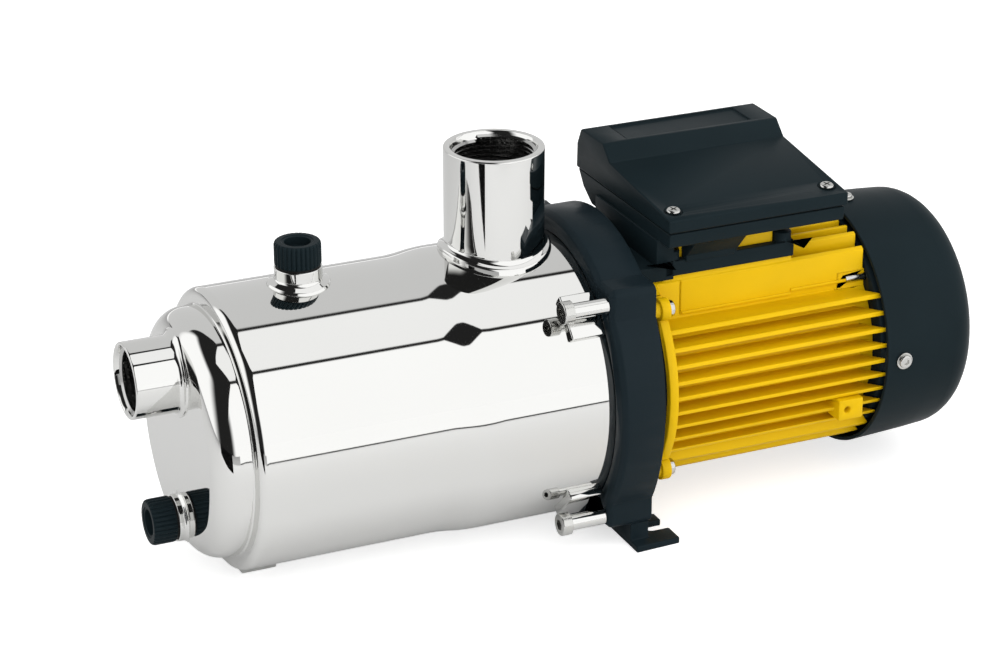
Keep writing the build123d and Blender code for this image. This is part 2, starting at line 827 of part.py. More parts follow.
# Rotor: laminated core with a cast ring at each end
rotor_radius = stator_bore - air_gap
rotor = tube(stator_front, stator_rear, rotor_radius, shaft_shoulder + 0.02)
rotor += tube(stator_front - end_ring_length, stator_front, rotor_radius - 1.5, rotor_radius - 10)
rotor += tube(stator_rear, stator_rear + end_ring_length, rotor_radius - 1.5, rotor_radius - 10)
keep("rotor_core", rotor)

# Rear shield with its bearing hub and the arms that carry the fan cover
shield = tube(frame_rear, frame_rear + shield_plate, shield_radius, 15)
shield += tube(frame_rear - 4, frame_rear + 1, frame_bore - 0.05, frame_bore - 4)
shield += tube(frame_rear - 5, shield_rear, shield_hub_radius, 9)
cover_inner_front = cover_front_radius - cover_wall
for angle in (0, 90, 180, 270):
    arm = block(frame_rear + 1, 18, -shield_arm_width / 2, 15, 60, shield_arm_width)
    shield += around_x(arm, angle)
arm_limit = rod(frame_rear - 10, shield_rear + 5, cover_inner_front - 1.2)
shield &= arm_limit
shield -= rod(rear_bearing_x - 1, shield_rear + 1, bearing_outer + 0.01)
shield -= rod(frame_rear - 10, shield_rear + 5, shaft_shoulder + 1)
for y, z in shield_spots:
    shield -= rod(frame_rear - 6, frame_rear + 10, 2.3, y, z)
for angle in (0, 90, 180, 270):
    bore = Pos(cover_screw_x, 48, 0) * Rot(-90, 0, 0)
    bore *= Cylinder(1.65, 40, align=(Align.CENTER, Align.CENTER, Align.MIN))
    shield -= around_x(bore, angle)
keep("rear_shield", shield)
keep("wave_washer", tube(rear_bearing_x - 0.9, rear_bearing_x - 0.1, bearing_outer - 0.3, bearing_outer - 3.0))

shield_screws = []
for y, z in shield_spots:
    screw = rod(frame_rear + shield_plate, frame_rear + shield_plate + 3.5, 3.8, y, z)
    screw += rod(frame_rear - 11, frame_rear + shield_plate + 1, 2.0, y, z)
    shield_screws.append(screw)
keep("shield_screws", *shield_screws)

# Fan on the shaft's tail, and its clip
fan_seat = fan_seat_radius + 0.02
fan = rod(fan_x, fan_x + fan_depth, fan_hub_radius)
fan += rod(fan_x, fan_x + fan_disc, fan_radius - 3)
for index in range(fan_blades):
    blade = block(fan_x, fan_hub_radius - 2, -fan_blade_wall / 2, fan_depth - 1, fan_radius - fan_hub_radius + 2, fan_blade_wall)
    fan += around_x(blade, 360 / fan_blades * index)
fan -= rod(fan_x - 1, fan_x + fan_depth + 1, fan_seat)
keep("cooling_fan", fan)
clip_x = fan_x + fan_depth
keep("fan_clip", tube(clip_x, clip_x + 1.0, fan_seat_radius + 2.5, fan_seat_radius + 0.02))

# Fan cover: a tapered cowl with a slotted rear grille
cowl_corners = [
    (cover_front, 0),
    (cover_front, cover_front_radius),
    (cover_rear, cover_rear_radius),
    (cover_rear, 0),
]
cowl = revolved(cowl_corners, [0, 0, cover_corner, 0])
inside_corners = [
    (cover_front - 1, 0),
    (cover_front - 1, cover_inner_front),
    (cover_rear - cover_wall, cover_rear_radius - cover_wall),
    (cover_rear - cover_wall, 0),
]
cowl -= revolved(inside_corners, [0, 0, cover_corner - cover_wall, 0])
spokes = []
for index in range(grille_spokes // 2):
    spoke = block(cover_rear - 5, -80, -grille_spoke / 2, 10, 160, grille_spoke)
    spokes.append(around_x(spoke, 360 / grille_spokes * index))
for index in range(grille_rings):
    slot_inner = grille_inner + index * (grille_slot + grille_bar)
    slot = tube(cover_rear - 5, cover_rear + 5, slot_inner + grille_slot, slot_inner)
    for spoke in spokes:
        slot -= spoke
    cowl -= slot
for angle in (0, 90, 180, 270):
    hole = Pos(cover_screw_x, 50, 0) * Rot(-90, 0, 0)
    hole *= Cylinder(2.1, 30, align=(Align.CENTER, Align.CENTER, Align.MIN))
    cowl -= around_x(hole, angle)
keep("fan_cover", cowl)

cover_screws = []
for angle in (0, 90, 180, 270):
    spot = Pos(cover_screw_x, cover_front_radius - 0.25, 0) * Rot(-90, 0, 0)
    head = spot * Cylinder(4.5, 1.0, align=(Align.CENTER, Align.CENTER, Align.MIN))
    head += spot * Pos(0, 0, 0.9) * Cylinder(3.4, 1.6, align=(Align.CENTER, Align.CENTER, Align.MIN))
    stem = Pos(cover_screw_x, 52, 0) * Rot(-90, 0, 0)
    head += stem * Cylinder(1.6, 15, align=(Align.CENTER, Align.CENTER, Align.MIN))
    cover_screws.append(around_x(head, angle))
keep("fan_cover_screws", *cover_screws)

# Terminal box base: a tray with a capacitor well, a seat round the motor's pad and a gland tower
box_end = box_x + box_length


def box_prism(points, x_start, length):
    """A prism along X from (y, z) corners."""
    return extrude(Plane.YZ.offset(x_start) * make_face(Polyline(*points, close=True)), length)


base_points = [
    (box_front + box_inset, box_floor),
    (box_front + 1, box_joint),
    (box_back - 0.5, box_joint),
    (box_back - 6.5, 76.4),
    (box_well_back, box_well),
    (box_well_front, box_well),
    (box_well_front - 8, box_floor),
]
base_inner = [
    (box_front + box_inset + box_wall, box_floor + box_wall),
    (box_front + box_inset + box_wall, box_joint + 1),
    (box_back - 3.5, box_joint + 1),
    (box_back - 9, 78.0),
    (box_well_back - 1.5, box_well + box_wall),
    (box_well_front + 1, box_well + box_wall),
    (box_well_front - 7, box_floor + box_wall),
]
base = box_prism(base_points, box_x + 1, box_length - 2)
seat = block(seat_x, seat_front, seat_bottom, seat_length, seat_back - seat_front, seat_top - seat_bottom)
for x in seat_post_x:
    seat += post(seat_bottom, seat_post_top, seat_post_radius, x, seat_post_y)
seat -= block(pad_x - 0.3, pad_front - 0.3, seat_bottom - 1, pad_length + 0.6, pad_low_depth + 0.6, seat_top - seat_bottom + 1)
for x in seat_post_x:
    seat += post(seat_bottom, seat_post_top, seat_post_radius, x, seat_post_y)
column_points = [
    (seat_front, seat_top - 1),
    (seat_front, seat_top + 1),
    (box_front + 2.5, box_floor + 0.5),
    (pad_back, box_floor + 0.5),
    (pad_back, pad_top + seat_gap),
    (pad_front - 0.3, pad_top + seat_gap),
    (pad_front - 0.3, seat_top - 1),
]
base += seat
base += box_prism(column_points, column_x, column_length)
gland_y = box_back + tower_overhang
tower_height = tower_top - tower_bottom
base += block(tower_x, gland_y - tower_depth, tower_bottom, tower_length, tower_depth, tower_height)
base -= box_prism(base_inner, box_x + 1 + box_wall, box_length - 2 - 2 * box_wall)
base -= post(pad_top - 1, box_joint, wire_hole_radius, wire_hole_x, wire_hole_y)
pocket = gland_hex / 2 + 0.3
base -= block(
    tower_x + 1.2,
    gland_y - tower_depth - 1,
    gland_height - pocket,
    tower_length - 2.4,
    tower_depth - tower_wall + 1,
    2 * pocket,
)
gland_x = tower_x + tower_length / 2
gland_spot = Pos(gland_x, 0, gland_height) * Rot(-90, 0, 0)
gland_hole = Cylinder(gland_thread + 0.1, 80, align=(Align.CENTER, Align.CENTER, Align.MIN))
base -= gland_spot * Pos(0, 0, 40) * gland_hole
lid_screw_x = (box_x + lid_screw_inset, box_end - lid_screw_inset)
for x in lid_screw_x:
    base += post(box_floor, box_joint, 4.2, x, lid_screw_y)
    base -= post(box_floor + 1.5, box_joint + 1, lid_screw_radius + seat_gap, x, lid_screw_y)
keep("terminal_box_base", base)

# Gasket, pinched between the base and the lid
gasket_top = box_joint + box_gasket
gasket_outer = block(box_x + 1.8, box_front + 2.2, box_joint, box_length - 3.6, box_back - box_front - 4.4, box_gasket)
gasket_inner = block(box_x + 4.4, box_front + 5.0, box_joint - 1, box_length - 8.8, box_back - box_front - 9, box_gasket + 2)
gasket = gasket_outer - gasket_inner
tower_clear = block(
    tower_x - 0.3,
    gland_y - tower_depth - 0.3,
    tower_bottom - 3,
    tower_length + 0.6,
    tower_depth + 10,
    tower_height + 3.3,
)
gasket -= tower_clear
for x in lid_screw_x:
    gasket += post(box_joint, gasket_top, 4.0, x, lid_screw_y)
    gasket -= post(box_joint - 1, gasket_top + 1, lid_screw_radius + 0.3, x, lid_screw_y)
keep("terminal_box_gasket", gasket)

# Terminal box lid: a sloping cover with the raised capacitor housing
lid_points = [
    (box_front, gasket_top),
    (box_front, box_lip),
    (box_slope_back, box_slope_top),
    (box_top_front, box_top),
    (box_top_back, box_top),
    (box_back - 0.5, box_back_top),
    (box_back, gasket_top),
]
lid = box_prism(lid_points, box_x, box_length)
lid_edges = lid.edges().filter_by(Axis.X).sort_by(Axis.Z)
lid = fillet(lid_edges[-2:], 2.5)
lid_inner = [
    (box_front + box_wall, gasket_top - 1),
    (box_front + box_wall, box_lip - box_wall),
    (box_slope_back + 1.0, box_slope_top - box_wall),
    (box_top_front + 1.0, box_top - box_wall),
    (box_top_back - 1.5, box_top - box_wall),
    (box_back - 0.5 - box_wall, box_back_top - 1),
    (box_back - box_wall, gasket_top - 1),
]
lid -= box_prism(lid_inner, box_x + box_wall, box_length - 2 * box_wall)
lid -= tower_clear
recess = block(
    top_recess_x,
    top_recess_front,
    box_top - top_recess_depth,
    top_recess_length,
    top_recess_back - top_recess_front,
    5,
)
lid -= recess
slope_angle = math.degrees(math.atan2(box_slope_top - box_lip, box_slope_back - box_front))
slope_rise = (lid_screw_y - box_front) * math.tan(math.radians(slope_angle))
lid_screw_seat = box_lip + slope_rise - 0.8
for x in lid_screw_x:
    lid += post(gasket_top, box_lip, 4.2, x, lid_screw_y)
    lid -= post(gasket_top - 1, 110, lid_screw_radius + 0.2, x, lid_screw_y)
    lid -= post(lid_screw_seat, 110, lid_screw_head + 0.8, x, lid_screw_y)
keep("terminal_box_lid", lid)

lid_screws = []
for x in lid_screw_x:
    screw = post(lid_screw_seat, lid_screw_seat + 2.0, lid_screw_head, x, lid_screw_y)
    screw += post(box_floor + 3, lid_screw_seat + 0.5, lid_screw_radius, x, lid_screw_y)
    lid_screws.append(screw)
keep("lid_screws", *lid_screws)

# Cable gland in the tower: body, seal and clamping nut
hexagon = RegularPolygon(gland_hex / 2, 6, major_radius=False)
body_flange = extrude(hexagon, 4.0)
gland_body = gland_spot * Pos(0, 0, gland_y) * body_flange
gland_stem = Cylinder(gland_thread, 14, align=(Align.CENTER, Align.CENTER, Align.MIN))
gland_body += gland_spot * Pos(0, 0, gland_y - 11) * gland_stem
gland_body += gland_spot * Pos(0, 0, gland_y + 3) * Cylinder(
    gland_thread - 0.6,
    7,
    align=(Align.CENTER, Align.CENTER, Align.MIN),
)
gland_through = Cylinder(gland_bore + 1.6, 60, align=(Align.CENTER, Align.CENTER, Align.MIN))
gland_body -= gland_spot * Pos(0, 0, 30) * gland_through
keep("gland_body", gland_body)
gland_seal = Cylinder(gland_bore + 1.5, 9, align=(Align.CENTER, Align.CENTER, Align.MIN))
gland_seal -= Pos(0, 0, -1) * Cylinder(gland_bore, 12, align=(Align.CENTER, Align.CENTER, Align.MIN))
keep("gland_seal", gland_spot * Pos(0, 0, gland_y + 1) * gland_seal)
gland_nut = extrude(hexagon, gland_length - 4.2)
gland_nut = chamfer(gland_nut.edges().group_by(Axis.Z)[-1], 1.2)
gland_nut -= Cylinder(gland_thread - 0.5, 6.2, align=(Align.CENTER, Align.CENTER, Align.MIN))
gland_nut -= Cylinder(gland_bore + 0.4, 20, align=(Align.CENTER, Align.CENTER, Align.MIN))
keep("gland_nut", gland_spot * Pos(0, 0, gland_y + 4.1) * gland_nut)
lock_nut = extrude(RegularPolygon(gland_hex / 2, 6, major_radius=False), 3.0)
lock_nut -= Cylinder(gland_thread + 0.05, 10, align=(Align.CENTER, Align.CENTER, Align.CENTER))
keep("gland_lock_nut", gland_spot * Pos(0, 0, gland_y - tower_wall - 3.05) * lock_nut)

# Capacitor, terminal block and its studs
capacitor = rod(capacitor_x, capacitor_x + capacitor_length, capacitor_radius, capacitor_y, capacitor_height)
capacitor = fillet(capacitor.edges().filter_by(GeomType.CIRCLE), 1.5)
keep("capacitor", capacitor)
block_floor = box_floor + box_wall
terminal = block(block_x, block_y - block_width / 2, block_floor, block_length, block_width, block_height - 1)
for index in range(stud_count + 1):
    wall_x = block_x + index * (block_length - 2) / stud_count
    terminal += block(wall_x, block_y - block_width / 2, block_floor, 2, block_width, block_height + 2)
studs = []
for index in range(stud_count):
    stud_x = block_x + 1 + (index + 0.5) * (block_length - 2) / stud_count
    stud_top = block_floor - 1 + block_height
    stud = post(stud_top, stud_top + stud_height - 1, stud_radius, stud_x, block_y)
    stud += post(stud_top + 0.2, stud_top + 2.6, 3.6, stud_x, block_y)
    studs.append(stud)
keep("terminal_block", terminal)
keep("terminal_studs", *studs)

os.makedirs("parts", exist_ok=True)
for name, solids in parts.items():
    moved = [Pos(-length_centre, 0, axis_height) * solid for solid in solids]
    shape = moved[0] if len(moved) == 1 else Compound(children=moved)
    export_step(shape, f"parts/{name}.step")
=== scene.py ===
import json
from math import asin, atan2, cos, pi, radians, sin, sqrt

import bmesh
import bpy
from bpy.props import BoolProperty, FloatProperty, FloatVectorProperty, IntProperty, PointerProperty
from bpy.types import Operator, Panel, PropertyGroup
from mathutils import Matrix, Vector


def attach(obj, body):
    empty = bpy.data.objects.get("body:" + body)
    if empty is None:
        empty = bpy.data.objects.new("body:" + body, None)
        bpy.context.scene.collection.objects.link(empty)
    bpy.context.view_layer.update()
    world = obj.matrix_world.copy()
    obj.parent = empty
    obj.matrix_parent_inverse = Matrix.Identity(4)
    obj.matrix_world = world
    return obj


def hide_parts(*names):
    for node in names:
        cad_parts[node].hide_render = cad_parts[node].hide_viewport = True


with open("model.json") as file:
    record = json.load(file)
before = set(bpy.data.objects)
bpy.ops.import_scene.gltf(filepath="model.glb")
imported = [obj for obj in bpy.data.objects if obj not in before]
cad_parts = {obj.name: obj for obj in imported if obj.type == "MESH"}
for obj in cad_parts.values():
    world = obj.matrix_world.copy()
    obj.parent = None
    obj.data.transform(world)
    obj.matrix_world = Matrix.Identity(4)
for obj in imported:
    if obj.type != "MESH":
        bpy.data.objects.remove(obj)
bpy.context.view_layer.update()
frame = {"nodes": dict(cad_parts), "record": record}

bl_info = {
    "name": "Water Pressure Pump",
    "version": (1, 0, 0),
    "blender": (4, 5, 0),
    "location": "3D View > Sidebar > Pump",
    "description": "Dresses the pump's solids with its polished, cast and moulded finishes",
    "category": "Object",
}

# The pieces are drawn in millimetres from a datum on the shaft's axis at the
# casing's front shoulder, and brought to the frame's metres at the end.
AXIS_HEIGHT = 76.0
DATUM_X = 174.8
TO_FRAME = Matrix.Translation((-DATUM_X / 1000, 0, AXIS_HEIGHT / 1000)) @ Matrix.Scale(0.001, 4)

# Where the ports and the screws stand.
END_FACE = -21.0
FILLER_X = 43.8
DISCHARGE_X = 147.0
SUCTION_Z = 33.6
DRAIN_Z = -43.5
COVER_SCREW_X = 347.0
FLANGE_SCREW_CIRCLE = 67.5
FLANGE_SCREW_ANGLES = (42.0, 138.0, 216.0, 324.0)


# Sizes

class PumpSizes(PropertyGroup):
    casing_radius: FloatProperty(
        name="Barrel radius", description="Radius of the casing's front part",
        default=0.070, unit="LENGTH")
    rear_radius: FloatProperty(
        name="Rear radius", description="Radius of the casing behind its step",
        default=0.072, unit="LENGTH")
    cap_radius: FloatProperty(
        name="End radius", description="Radius of the casing's domed end",
        default=0.062, unit="LENGTH")
    cap_shoulder: FloatProperty(
        name="End rounding", description="Radius of the domed end's shoulder",
        default=0.013, unit="LENGTH")
    suction_radius: FloatProperty(
        name="Suction socket", description="Outside radius of the suction socket",
        default=0.019, unit="LENGTH")
    discharge_radius: FloatProperty(
        name="Discharge socket", description="Outside radius of the discharge socket",
        default=0.025, unit="LENGTH")
    thread_pitch: FloatProperty(
        name="Thread pitch", description="Pitch of the pipe threads in both sockets",
        default=0.002309, unit="LENGTH")
    cap_flutes: IntProperty(
        name="Plug flutes", description="Number of grip flutes round each plug",
        default=30, min=8, max=60)
    casting_edge: FloatProperty(
        name="Casting edge", description="Rounding along the edges of the castings",
        default=0.0007, unit="LENGTH")
    fin_edge: FloatProperty(
        name="Fin edge", description="Rounding along the cooling fins",
        default=0.00055, unit="LENGTH")
    moulding_edge: FloatProperty(
        name="Moulding edge", description="Rounding along the edges of the terminal box",
        default=0.0008, unit="LENGTH")


class PumpColours(PropertyGroup):
    steel: FloatVectorProperty(
        name="Polished steel", description="Reflection colour of the casing",
        subtype="COLOR", size=3, min=0, max=1, default=(0.72, 0.72, 0.705))
    yellow: FloatVectorProperty(
        name="Motor paint", description="Coat on the motor frame",
        subtype="COLOR", size=3, min=0, max=1, default=(0.70, 0.435, 0.0015))
    coat: FloatVectorProperty(
        name="Bracket paint", description="Coat on the motor bracket",
        subtype="COLOR", size=3, min=0, max=1, default=(0.0090, 0.0155, 0.0195))
    moulding: FloatVectorProperty(
        name="Moulded plastic", description="Terminal box, fan cover and plugs",
        subtype="COLOR", size=3, min=0, max=1, default=(0.0085, 0.0150, 0.0180))


class PumpStudio(PropertyGroup):
    lens: FloatProperty(
        name="Lens", description="Focal length of the camera in millimetres",
        default=108.5, min=20, max=300)
    panel_light: FloatProperty(
        name="Panel brightness", description="Brightness of the panels on matt surfaces, where 1 is white",
        default=1.3, min=0, max=5)
    fill_light: FloatProperty(
        name="Fill", description="Brightness of the room on matt surfaces",
        default=0.5, min=0, max=2)
    room_light: FloatProperty(
        name="Reflected room", description="Brightness of the panels as polished steel mirrors them",
        default=1.3, min=0, max=5)
    cards: BoolProperty(
        name="Dark cards", description="Dark cards that the polished steel reflects",
        default=True)


# Materials

def nodes_of(name):
    """A new material's node tree with its shader."""
    material = bpy.data.materials.new(name)
    material.use_nodes = True
    tree = material.node_tree
    return material, tree, tree.nodes["Principled BSDF"]


def place(tree, stretch=(1, 1, 1)):
    """Object coordinates through a mapping that stretches the pattern."""
    where = tree.nodes.new("ShaderNodeTexCoord")
    mapping = tree.nodes.new("ShaderNodeMapping")
    mapping.inputs["Scale"].default_value = stretch
    tree.links.new(where.outputs["Object"], mapping.inputs["Vector"])
    return mapping.outputs["Vector"]


def noise(tree, vector, scale, detail=2.0, rough=0.5):
    """A noise pattern of a given scale."""
    node = tree.nodes.new("ShaderNodeTexNoise")
    node.inputs["Scale"].default_value = scale
    node.inputs["Detail"].default_value = detail
    node.inputs["Roughness"].default_value = rough
    tree.links.new(vector, node.inputs["Vector"])
    return node.outputs["Fac"]


def spread(tree, value, low, high, from_low=0.3, from_high=0.7):
    """A value moved into another range."""
    node = tree.nodes.new("ShaderNodeMapRange")
    node.inputs["From Min"].default_value = from_low
    node.inputs["From Max"].default_value = from_high
    node.inputs["To Min"].default_value = low
    node.inputs["To Max"].default_value = high
    tree.links.new(value, node.inputs["Value"])
    return node.outputs["Result"]


def tones(tree, value, dark, light):
    """A colour between two tones."""
    node = tree.nodes.new("ShaderNodeMix")
    node.data_type = "RGBA"
    node.inputs["A"].default_value = (*dark, 1)
    node.inputs["B"].default_value = (*light, 1)
    tree.links.new(value, node.inputs["Factor"])
    return node.outputs["Result"]


def relief(tree, shader, *layers):
    """Bumps from one or more (pattern, strength, height in metres)."""
    normal = None
    for pattern, strength, height in layers:
        bump = tree.nodes.new("ShaderNodeBump")
        bump.inputs["Strength"].default_value = strength
        bump.inputs["Distance"].default_value = height
        tree.links.new(pattern, bump.inputs["Height"])
        if normal is not None:
            tree.links.new(normal, bump.inputs["Normal"])
        normal = bump.outputs["Normal"]
    tree.links.new(normal, shader.inputs["Normal"])


def shade(colour, factor):
    """A colour made darker or lighter."""
    return tuple(min(1.0, channel * factor) for channel in colour)


def mirror_steel(name, colour, rough=0.035):
    """Deep-drawn sheet, polished: a soft waviness and faint polishing lines."""
    material, tree, shader = nodes_of(name)
    shader.inputs["Metallic"].default_value = 1.0
    vector = place(tree)
    wave = noise(tree, vector, 22.0, 1.0)
    haze = noise(tree, vector, 9.0, 3.0)
    lines = noise(tree, place(tree, (14, 900, 900)), 1.0, 2.0)
    tree.links.new(tones(tree, haze, shade(colour, 0.97), shade(colour, 1.02)), shader.inputs["Base Color"])
    tree.links.new(spread(tree, haze, rough * 0.8, rough * 1.35), shader.inputs["Roughness"])
    relief(tree, shader, (wave, 0.05, 0.0006), (lines, 0.02, 0.00002))
    return material


def turned_steel(name, colour, rough=0.18, lines=(1400, 60, 60), strength=0.12):
    """Machined steel with fine turning marks."""
    material, tree, shader = nodes_of(name)
    shader.inputs["Metallic"].default_value = 1.0
    marks = noise(tree, place(tree, lines), 1.0, 2.0)
    blot = noise(tree, place(tree), 60.0, 3.0)
    tree.links.new(tones(tree, blot, shade(colour, 0.86), shade(colour, 1.05)), shader.inputs["Base Color"])
    tree.links.new(spread(tree, blot, rough * 0.75, rough * 1.4), shader.inputs["Roughness"])
    relief(tree, shader, (marks, strength, 0.00003))
    return material


def coated_casting(name, colour, rough=0.42, gloss=0.4, grain=900.0, depth=0.00006):
    """Paint over a cast skin: a fine orange peel over slower unevenness."""
    material, tree, shader = nodes_of(name)
    vector = place(tree)
    slow = noise(tree, vector, 34.0, 4.0)
    peel = noise(tree, vector, grain, 2.0, 0.6)
    tree.links.new(tones(tree, slow, shade(colour, 0.90), shade(colour, 1.06)), shader.inputs["Base Color"])
    tree.links.new(spread(tree, slow, rough - 0.06, rough + 0.07), shader.inputs["Roughness"])
    shader.inputs["Specular IOR Level"].default_value = gloss
    relief(tree, shader, (slow, 0.10, 0.0003), (peel, 0.35, depth))
    return material


def moulded(name, colour, rough=0.45, gloss=0.4, grain=1500.0, strength=0.3):
    """Moulded plastic with a fine spark-eroded texture."""
    material, tree, shader = nodes_of(name)
    vector = place(tree)
    cloud = noise(tree, vector, 26.0, 3.0)
    fine = noise(tree, vector, grain, 2.0, 0.6)
    tree.links.new(tones(tree, cloud, shade(colour, 0.85), shade(colour, 1.15)), shader.inputs["Base Color"])
    tree.links.new(spread(tree, cloud, rough - 0.05, rough + 0.06), shader.inputs["Roughness"])
    shader.inputs["Specular IOR Level"].default_value = gloss
    relief(tree, shader, (fine, strength, 0.00004))
    return material


def wound_copper(name, colour):
    """Varnished wire laid round the winding heads."""
    material, tree, shader = nodes_of(name)
    strands = noise(tree, place(tree, (60, 900, 900)), 1.0, 2.0)
    tree.links.new(tones(tree, strands, shade(colour, 0.5), shade(colour, 1.1)), shader.inputs["Base Color"])
    shader.inputs["Metallic"].default_value = 0.8
    shader.inputs["Roughness"].default_value = 0.32
    relief(tree, shader, (strands, 0.6, 0.0003))
    return material


def sheet_stack(name, colour):
    """Punched sheets stacked along the shaft."""
    material, tree, shader = nodes_of(name)
    wave = tree.nodes.new("ShaderNodeTexWave")
    wave.bands_direction = "X"
    wave.inputs["Scale"].default_value = 320.0
    wave.inputs["Distortion"].default_value = 0.3
    tree.links.new(place(tree), wave.inputs["Vector"])
    sheets = tones(tree, wave.outputs["Fac"], shade(colour, 0.6), shade(colour, 1.1))
    tree.links.new(sheets, shader.inputs["Base Color"])
    shader.inputs["Metallic"].default_value = 0.9
    shader.inputs["Roughness"].default_value = 0.45
    relief(tree, shader, (wave.outputs["Fac"], 0.3, 0.0001))
    return material


FINISHES = {}


def make_finishes(colours):
    """Every finish on the pump, by the record's slot."""
    steel, yellow = tuple(colours.steel), tuple(colours.yellow)
    coat, moulding = tuple(colours.coat), tuple(colours.moulding)
    FINISHES.update({
        "polished_steel": mirror_steel("polished_steel", steel),
        "bright_steel": turned_steel("bright_steel", (0.62, 0.62, 0.60)),
        "shaft_steel": turned_steel("shaft_steel", (0.55, 0.55, 0.55), 0.22),
        "black_casting": coated_casting("black_casting", coat, 0.34, 0.05),
        "yellow_casting": coated_casting("yellow_casting", yellow, 0.42, 0.10),
        "bare_casting": turned_steel("bare_casting", (0.50, 0.50, 0.50), 0.45, (300, 300, 300), 0.3),
        "black_plastic": moulded("black_plastic", moulding, 0.36, 0.04),
        "hydraulic_plastic": moulded("hydraulic_plastic", (0.05, 0.05, 0.056), 0.35, 0.45, 700.0, 0.2),
        "light_plastic": moulded("light_plastic", (0.62, 0.62, 0.58), 0.4, 0.45, 500.0, 0.15),
        "black_rubber": moulded("black_rubber", (0.005, 0.005, 0.005), 0.65, 0.2, 900.0, 0.3),
        "copper_winding": wound_copper("copper_winding", (0.60, 0.24, 0.08)),
        "lamination": sheet_stack("lamination", (0.30, 0.31, 0.33)),
        "brass_parts": turned_steel("brass_parts", (0.72, 0.52, 0.20), 0.25),
        "seal_carbon": moulded("seal_carbon", (0.03, 0.03, 0.033), 0.3, 0.5, 800.0, 0.1),
        "thread_steel": turned_steel("thread_steel", (0.52, 0.52, 0.51), 0.14, (500, 500, 500), 0.08),
    })


# Modelling helpers

def loop_of(bm, points, closed=True):
    """A polyline in the X-Y plane of the mesh, from (along, radius) pairs."""
    verts = [bm.verts.new((a, r, 0.0)) for a, r in points]
    ends = verts + verts[:1] if closed else verts
    edges = [bm.edges.new(pair) for pair in zip(ends, ends[1:])]
    return verts, edges


def rounded(points, default=0.0, steps=6, hold=0.35):
    """(along, radius, rounding) corners as a smooth outline, with a holding point at each end of an arc."""
    outline = []
    count = len(points)
    for index, corner in enumerate(points):
        here = Vector(corner[:2])
        size = corner[2] if len(corner) > 2 else default
        if size <= 0:
            outline.append(tuple(here))
            continue
        before = (Vector(points[index - 1][:2]) - here).normalized()
        after = (Vector(points[(index + 1) % count][:2]) - here).normalized()
        half = before.angle(after) / 2
        reach = size / max(0.02, abs(sin(half) / cos(half)))
        centre = here + (before + after).normalized() * (size / sin(half))
        first, last = here + before * reach, here + after * reach
        outline.append(tuple(first + before * hold))
        start, stop = first - centre, last - centre
        turn = start.angle_signed(stop)
        for step in range(steps + 1):
            angle = -turn * step / steps
            outline.append((
                centre.x + start.x * cos(angle) - start.y * sin(angle),
                centre.y + start.x * sin(angle) + start.y * cos(angle),
            ))
        outline.append(tuple(last + after * hold))
    return outline


def turned(points, steps=96, closed=True):
    """A solid turned about X from an outline of (along, radius) pairs."""
    bm = bmesh.new()
    verts, edges = loop_of(bm, points, closed)
    bmesh.ops.spin(
        bm, geom=verts + edges, cent=(0, 0, 0), axis=(1, 0, 0), dvec=(0, 0, 0),
        angle=2 * pi, steps=steps, use_merge=True, use_duplicate=False)
    bmesh.ops.remove_doubles(bm, verts=bm.verts, dist=1e-4)
    bmesh.ops.recalc_face_normals(bm, faces=bm.faces)
    return bm


def moved(bm, matrix):
    """The mesh put in place by a matrix."""
    bmesh.ops.transform(bm, matrix=matrix, verts=bm.verts)
    return bm


def joined(*meshes):
    """Several meshes as one."""
    whole = bmesh.new()
    for bm in meshes:
        spare = bpy.data.meshes.new("spare")
        bm.to_mesh(spare)
        whole.from_mesh(spare)
        bpy.data.meshes.remove(spare)
        bm.free()
    return whole


def copied(bm, *matrices):
    """The mesh once at each matrix."""
    return joined(*[moved(bm.copy(), matrix) for matrix in matrices])


def carved(solid, tool):
    """The solid with the tool taken out of it."""
    holders = []
    for bm, name in ((solid, "carved"), (tool, "tool")):
        mesh = bpy.data.meshes.new(name)
        bm.to_mesh(mesh)
        bm.free()
        holder = bpy.data.objects.new(name, mesh)
        bpy.context.scene.collection.objects.link(holder)
        holders.append(holder)
    cut = holders[0].modifiers.new("cut", "BOOLEAN")
    cut.operation = "DIFFERENCE"
    cut.solver = "EXACT"
    cut.object = holders[1]
    done = bpy.data.meshes.new_from_object(holders[0].evaluated_get(bpy.context.evaluated_depsgraph_get()))
    result = bmesh.new()
    result.from_mesh(done)
    bpy.data.meshes.remove(done)
    for holder in holders:
        mesh = holder.data
        bpy.data.objects.remove(holder)
        bpy.data.meshes.remove(mesh)
    return result


def bar(radius, length, segments=48, sides=None):
    """A closed cylinder, or a prism with few sides, that stands on z = 0."""
    bm = bmesh.new()
    bmesh.ops.create_cone(
        bm, cap_ends=True, segments=sides or segments, radius1=radius, radius2=radius, depth=length)
    return moved(bm, Matrix.Translation((0, 0, length / 2)))


def slab(length, width, height, corner=(0, 0, 0)):
    """A box from its lowest corner."""
    bm = bmesh.new()
    bmesh.ops.create_cube(bm, size=1)
    moved(bm, Matrix.Diagonal((length, width, height, 1)))
    return moved(bm, Matrix.Translation(Vector(corner) + Vector((length, width, height)) / 2))


def soft_slab(length, width, height, corner, edge=0.4):
    """A box with rounded edges."""
    bm = slab(length, width, height, corner)
    bmesh.ops.bevel(
        bm, geom=list(bm.edges), offset=edge, offset_type="OFFSET", segments=3, profile=0.5,
        affect="EDGES", material=-1)
    return bm


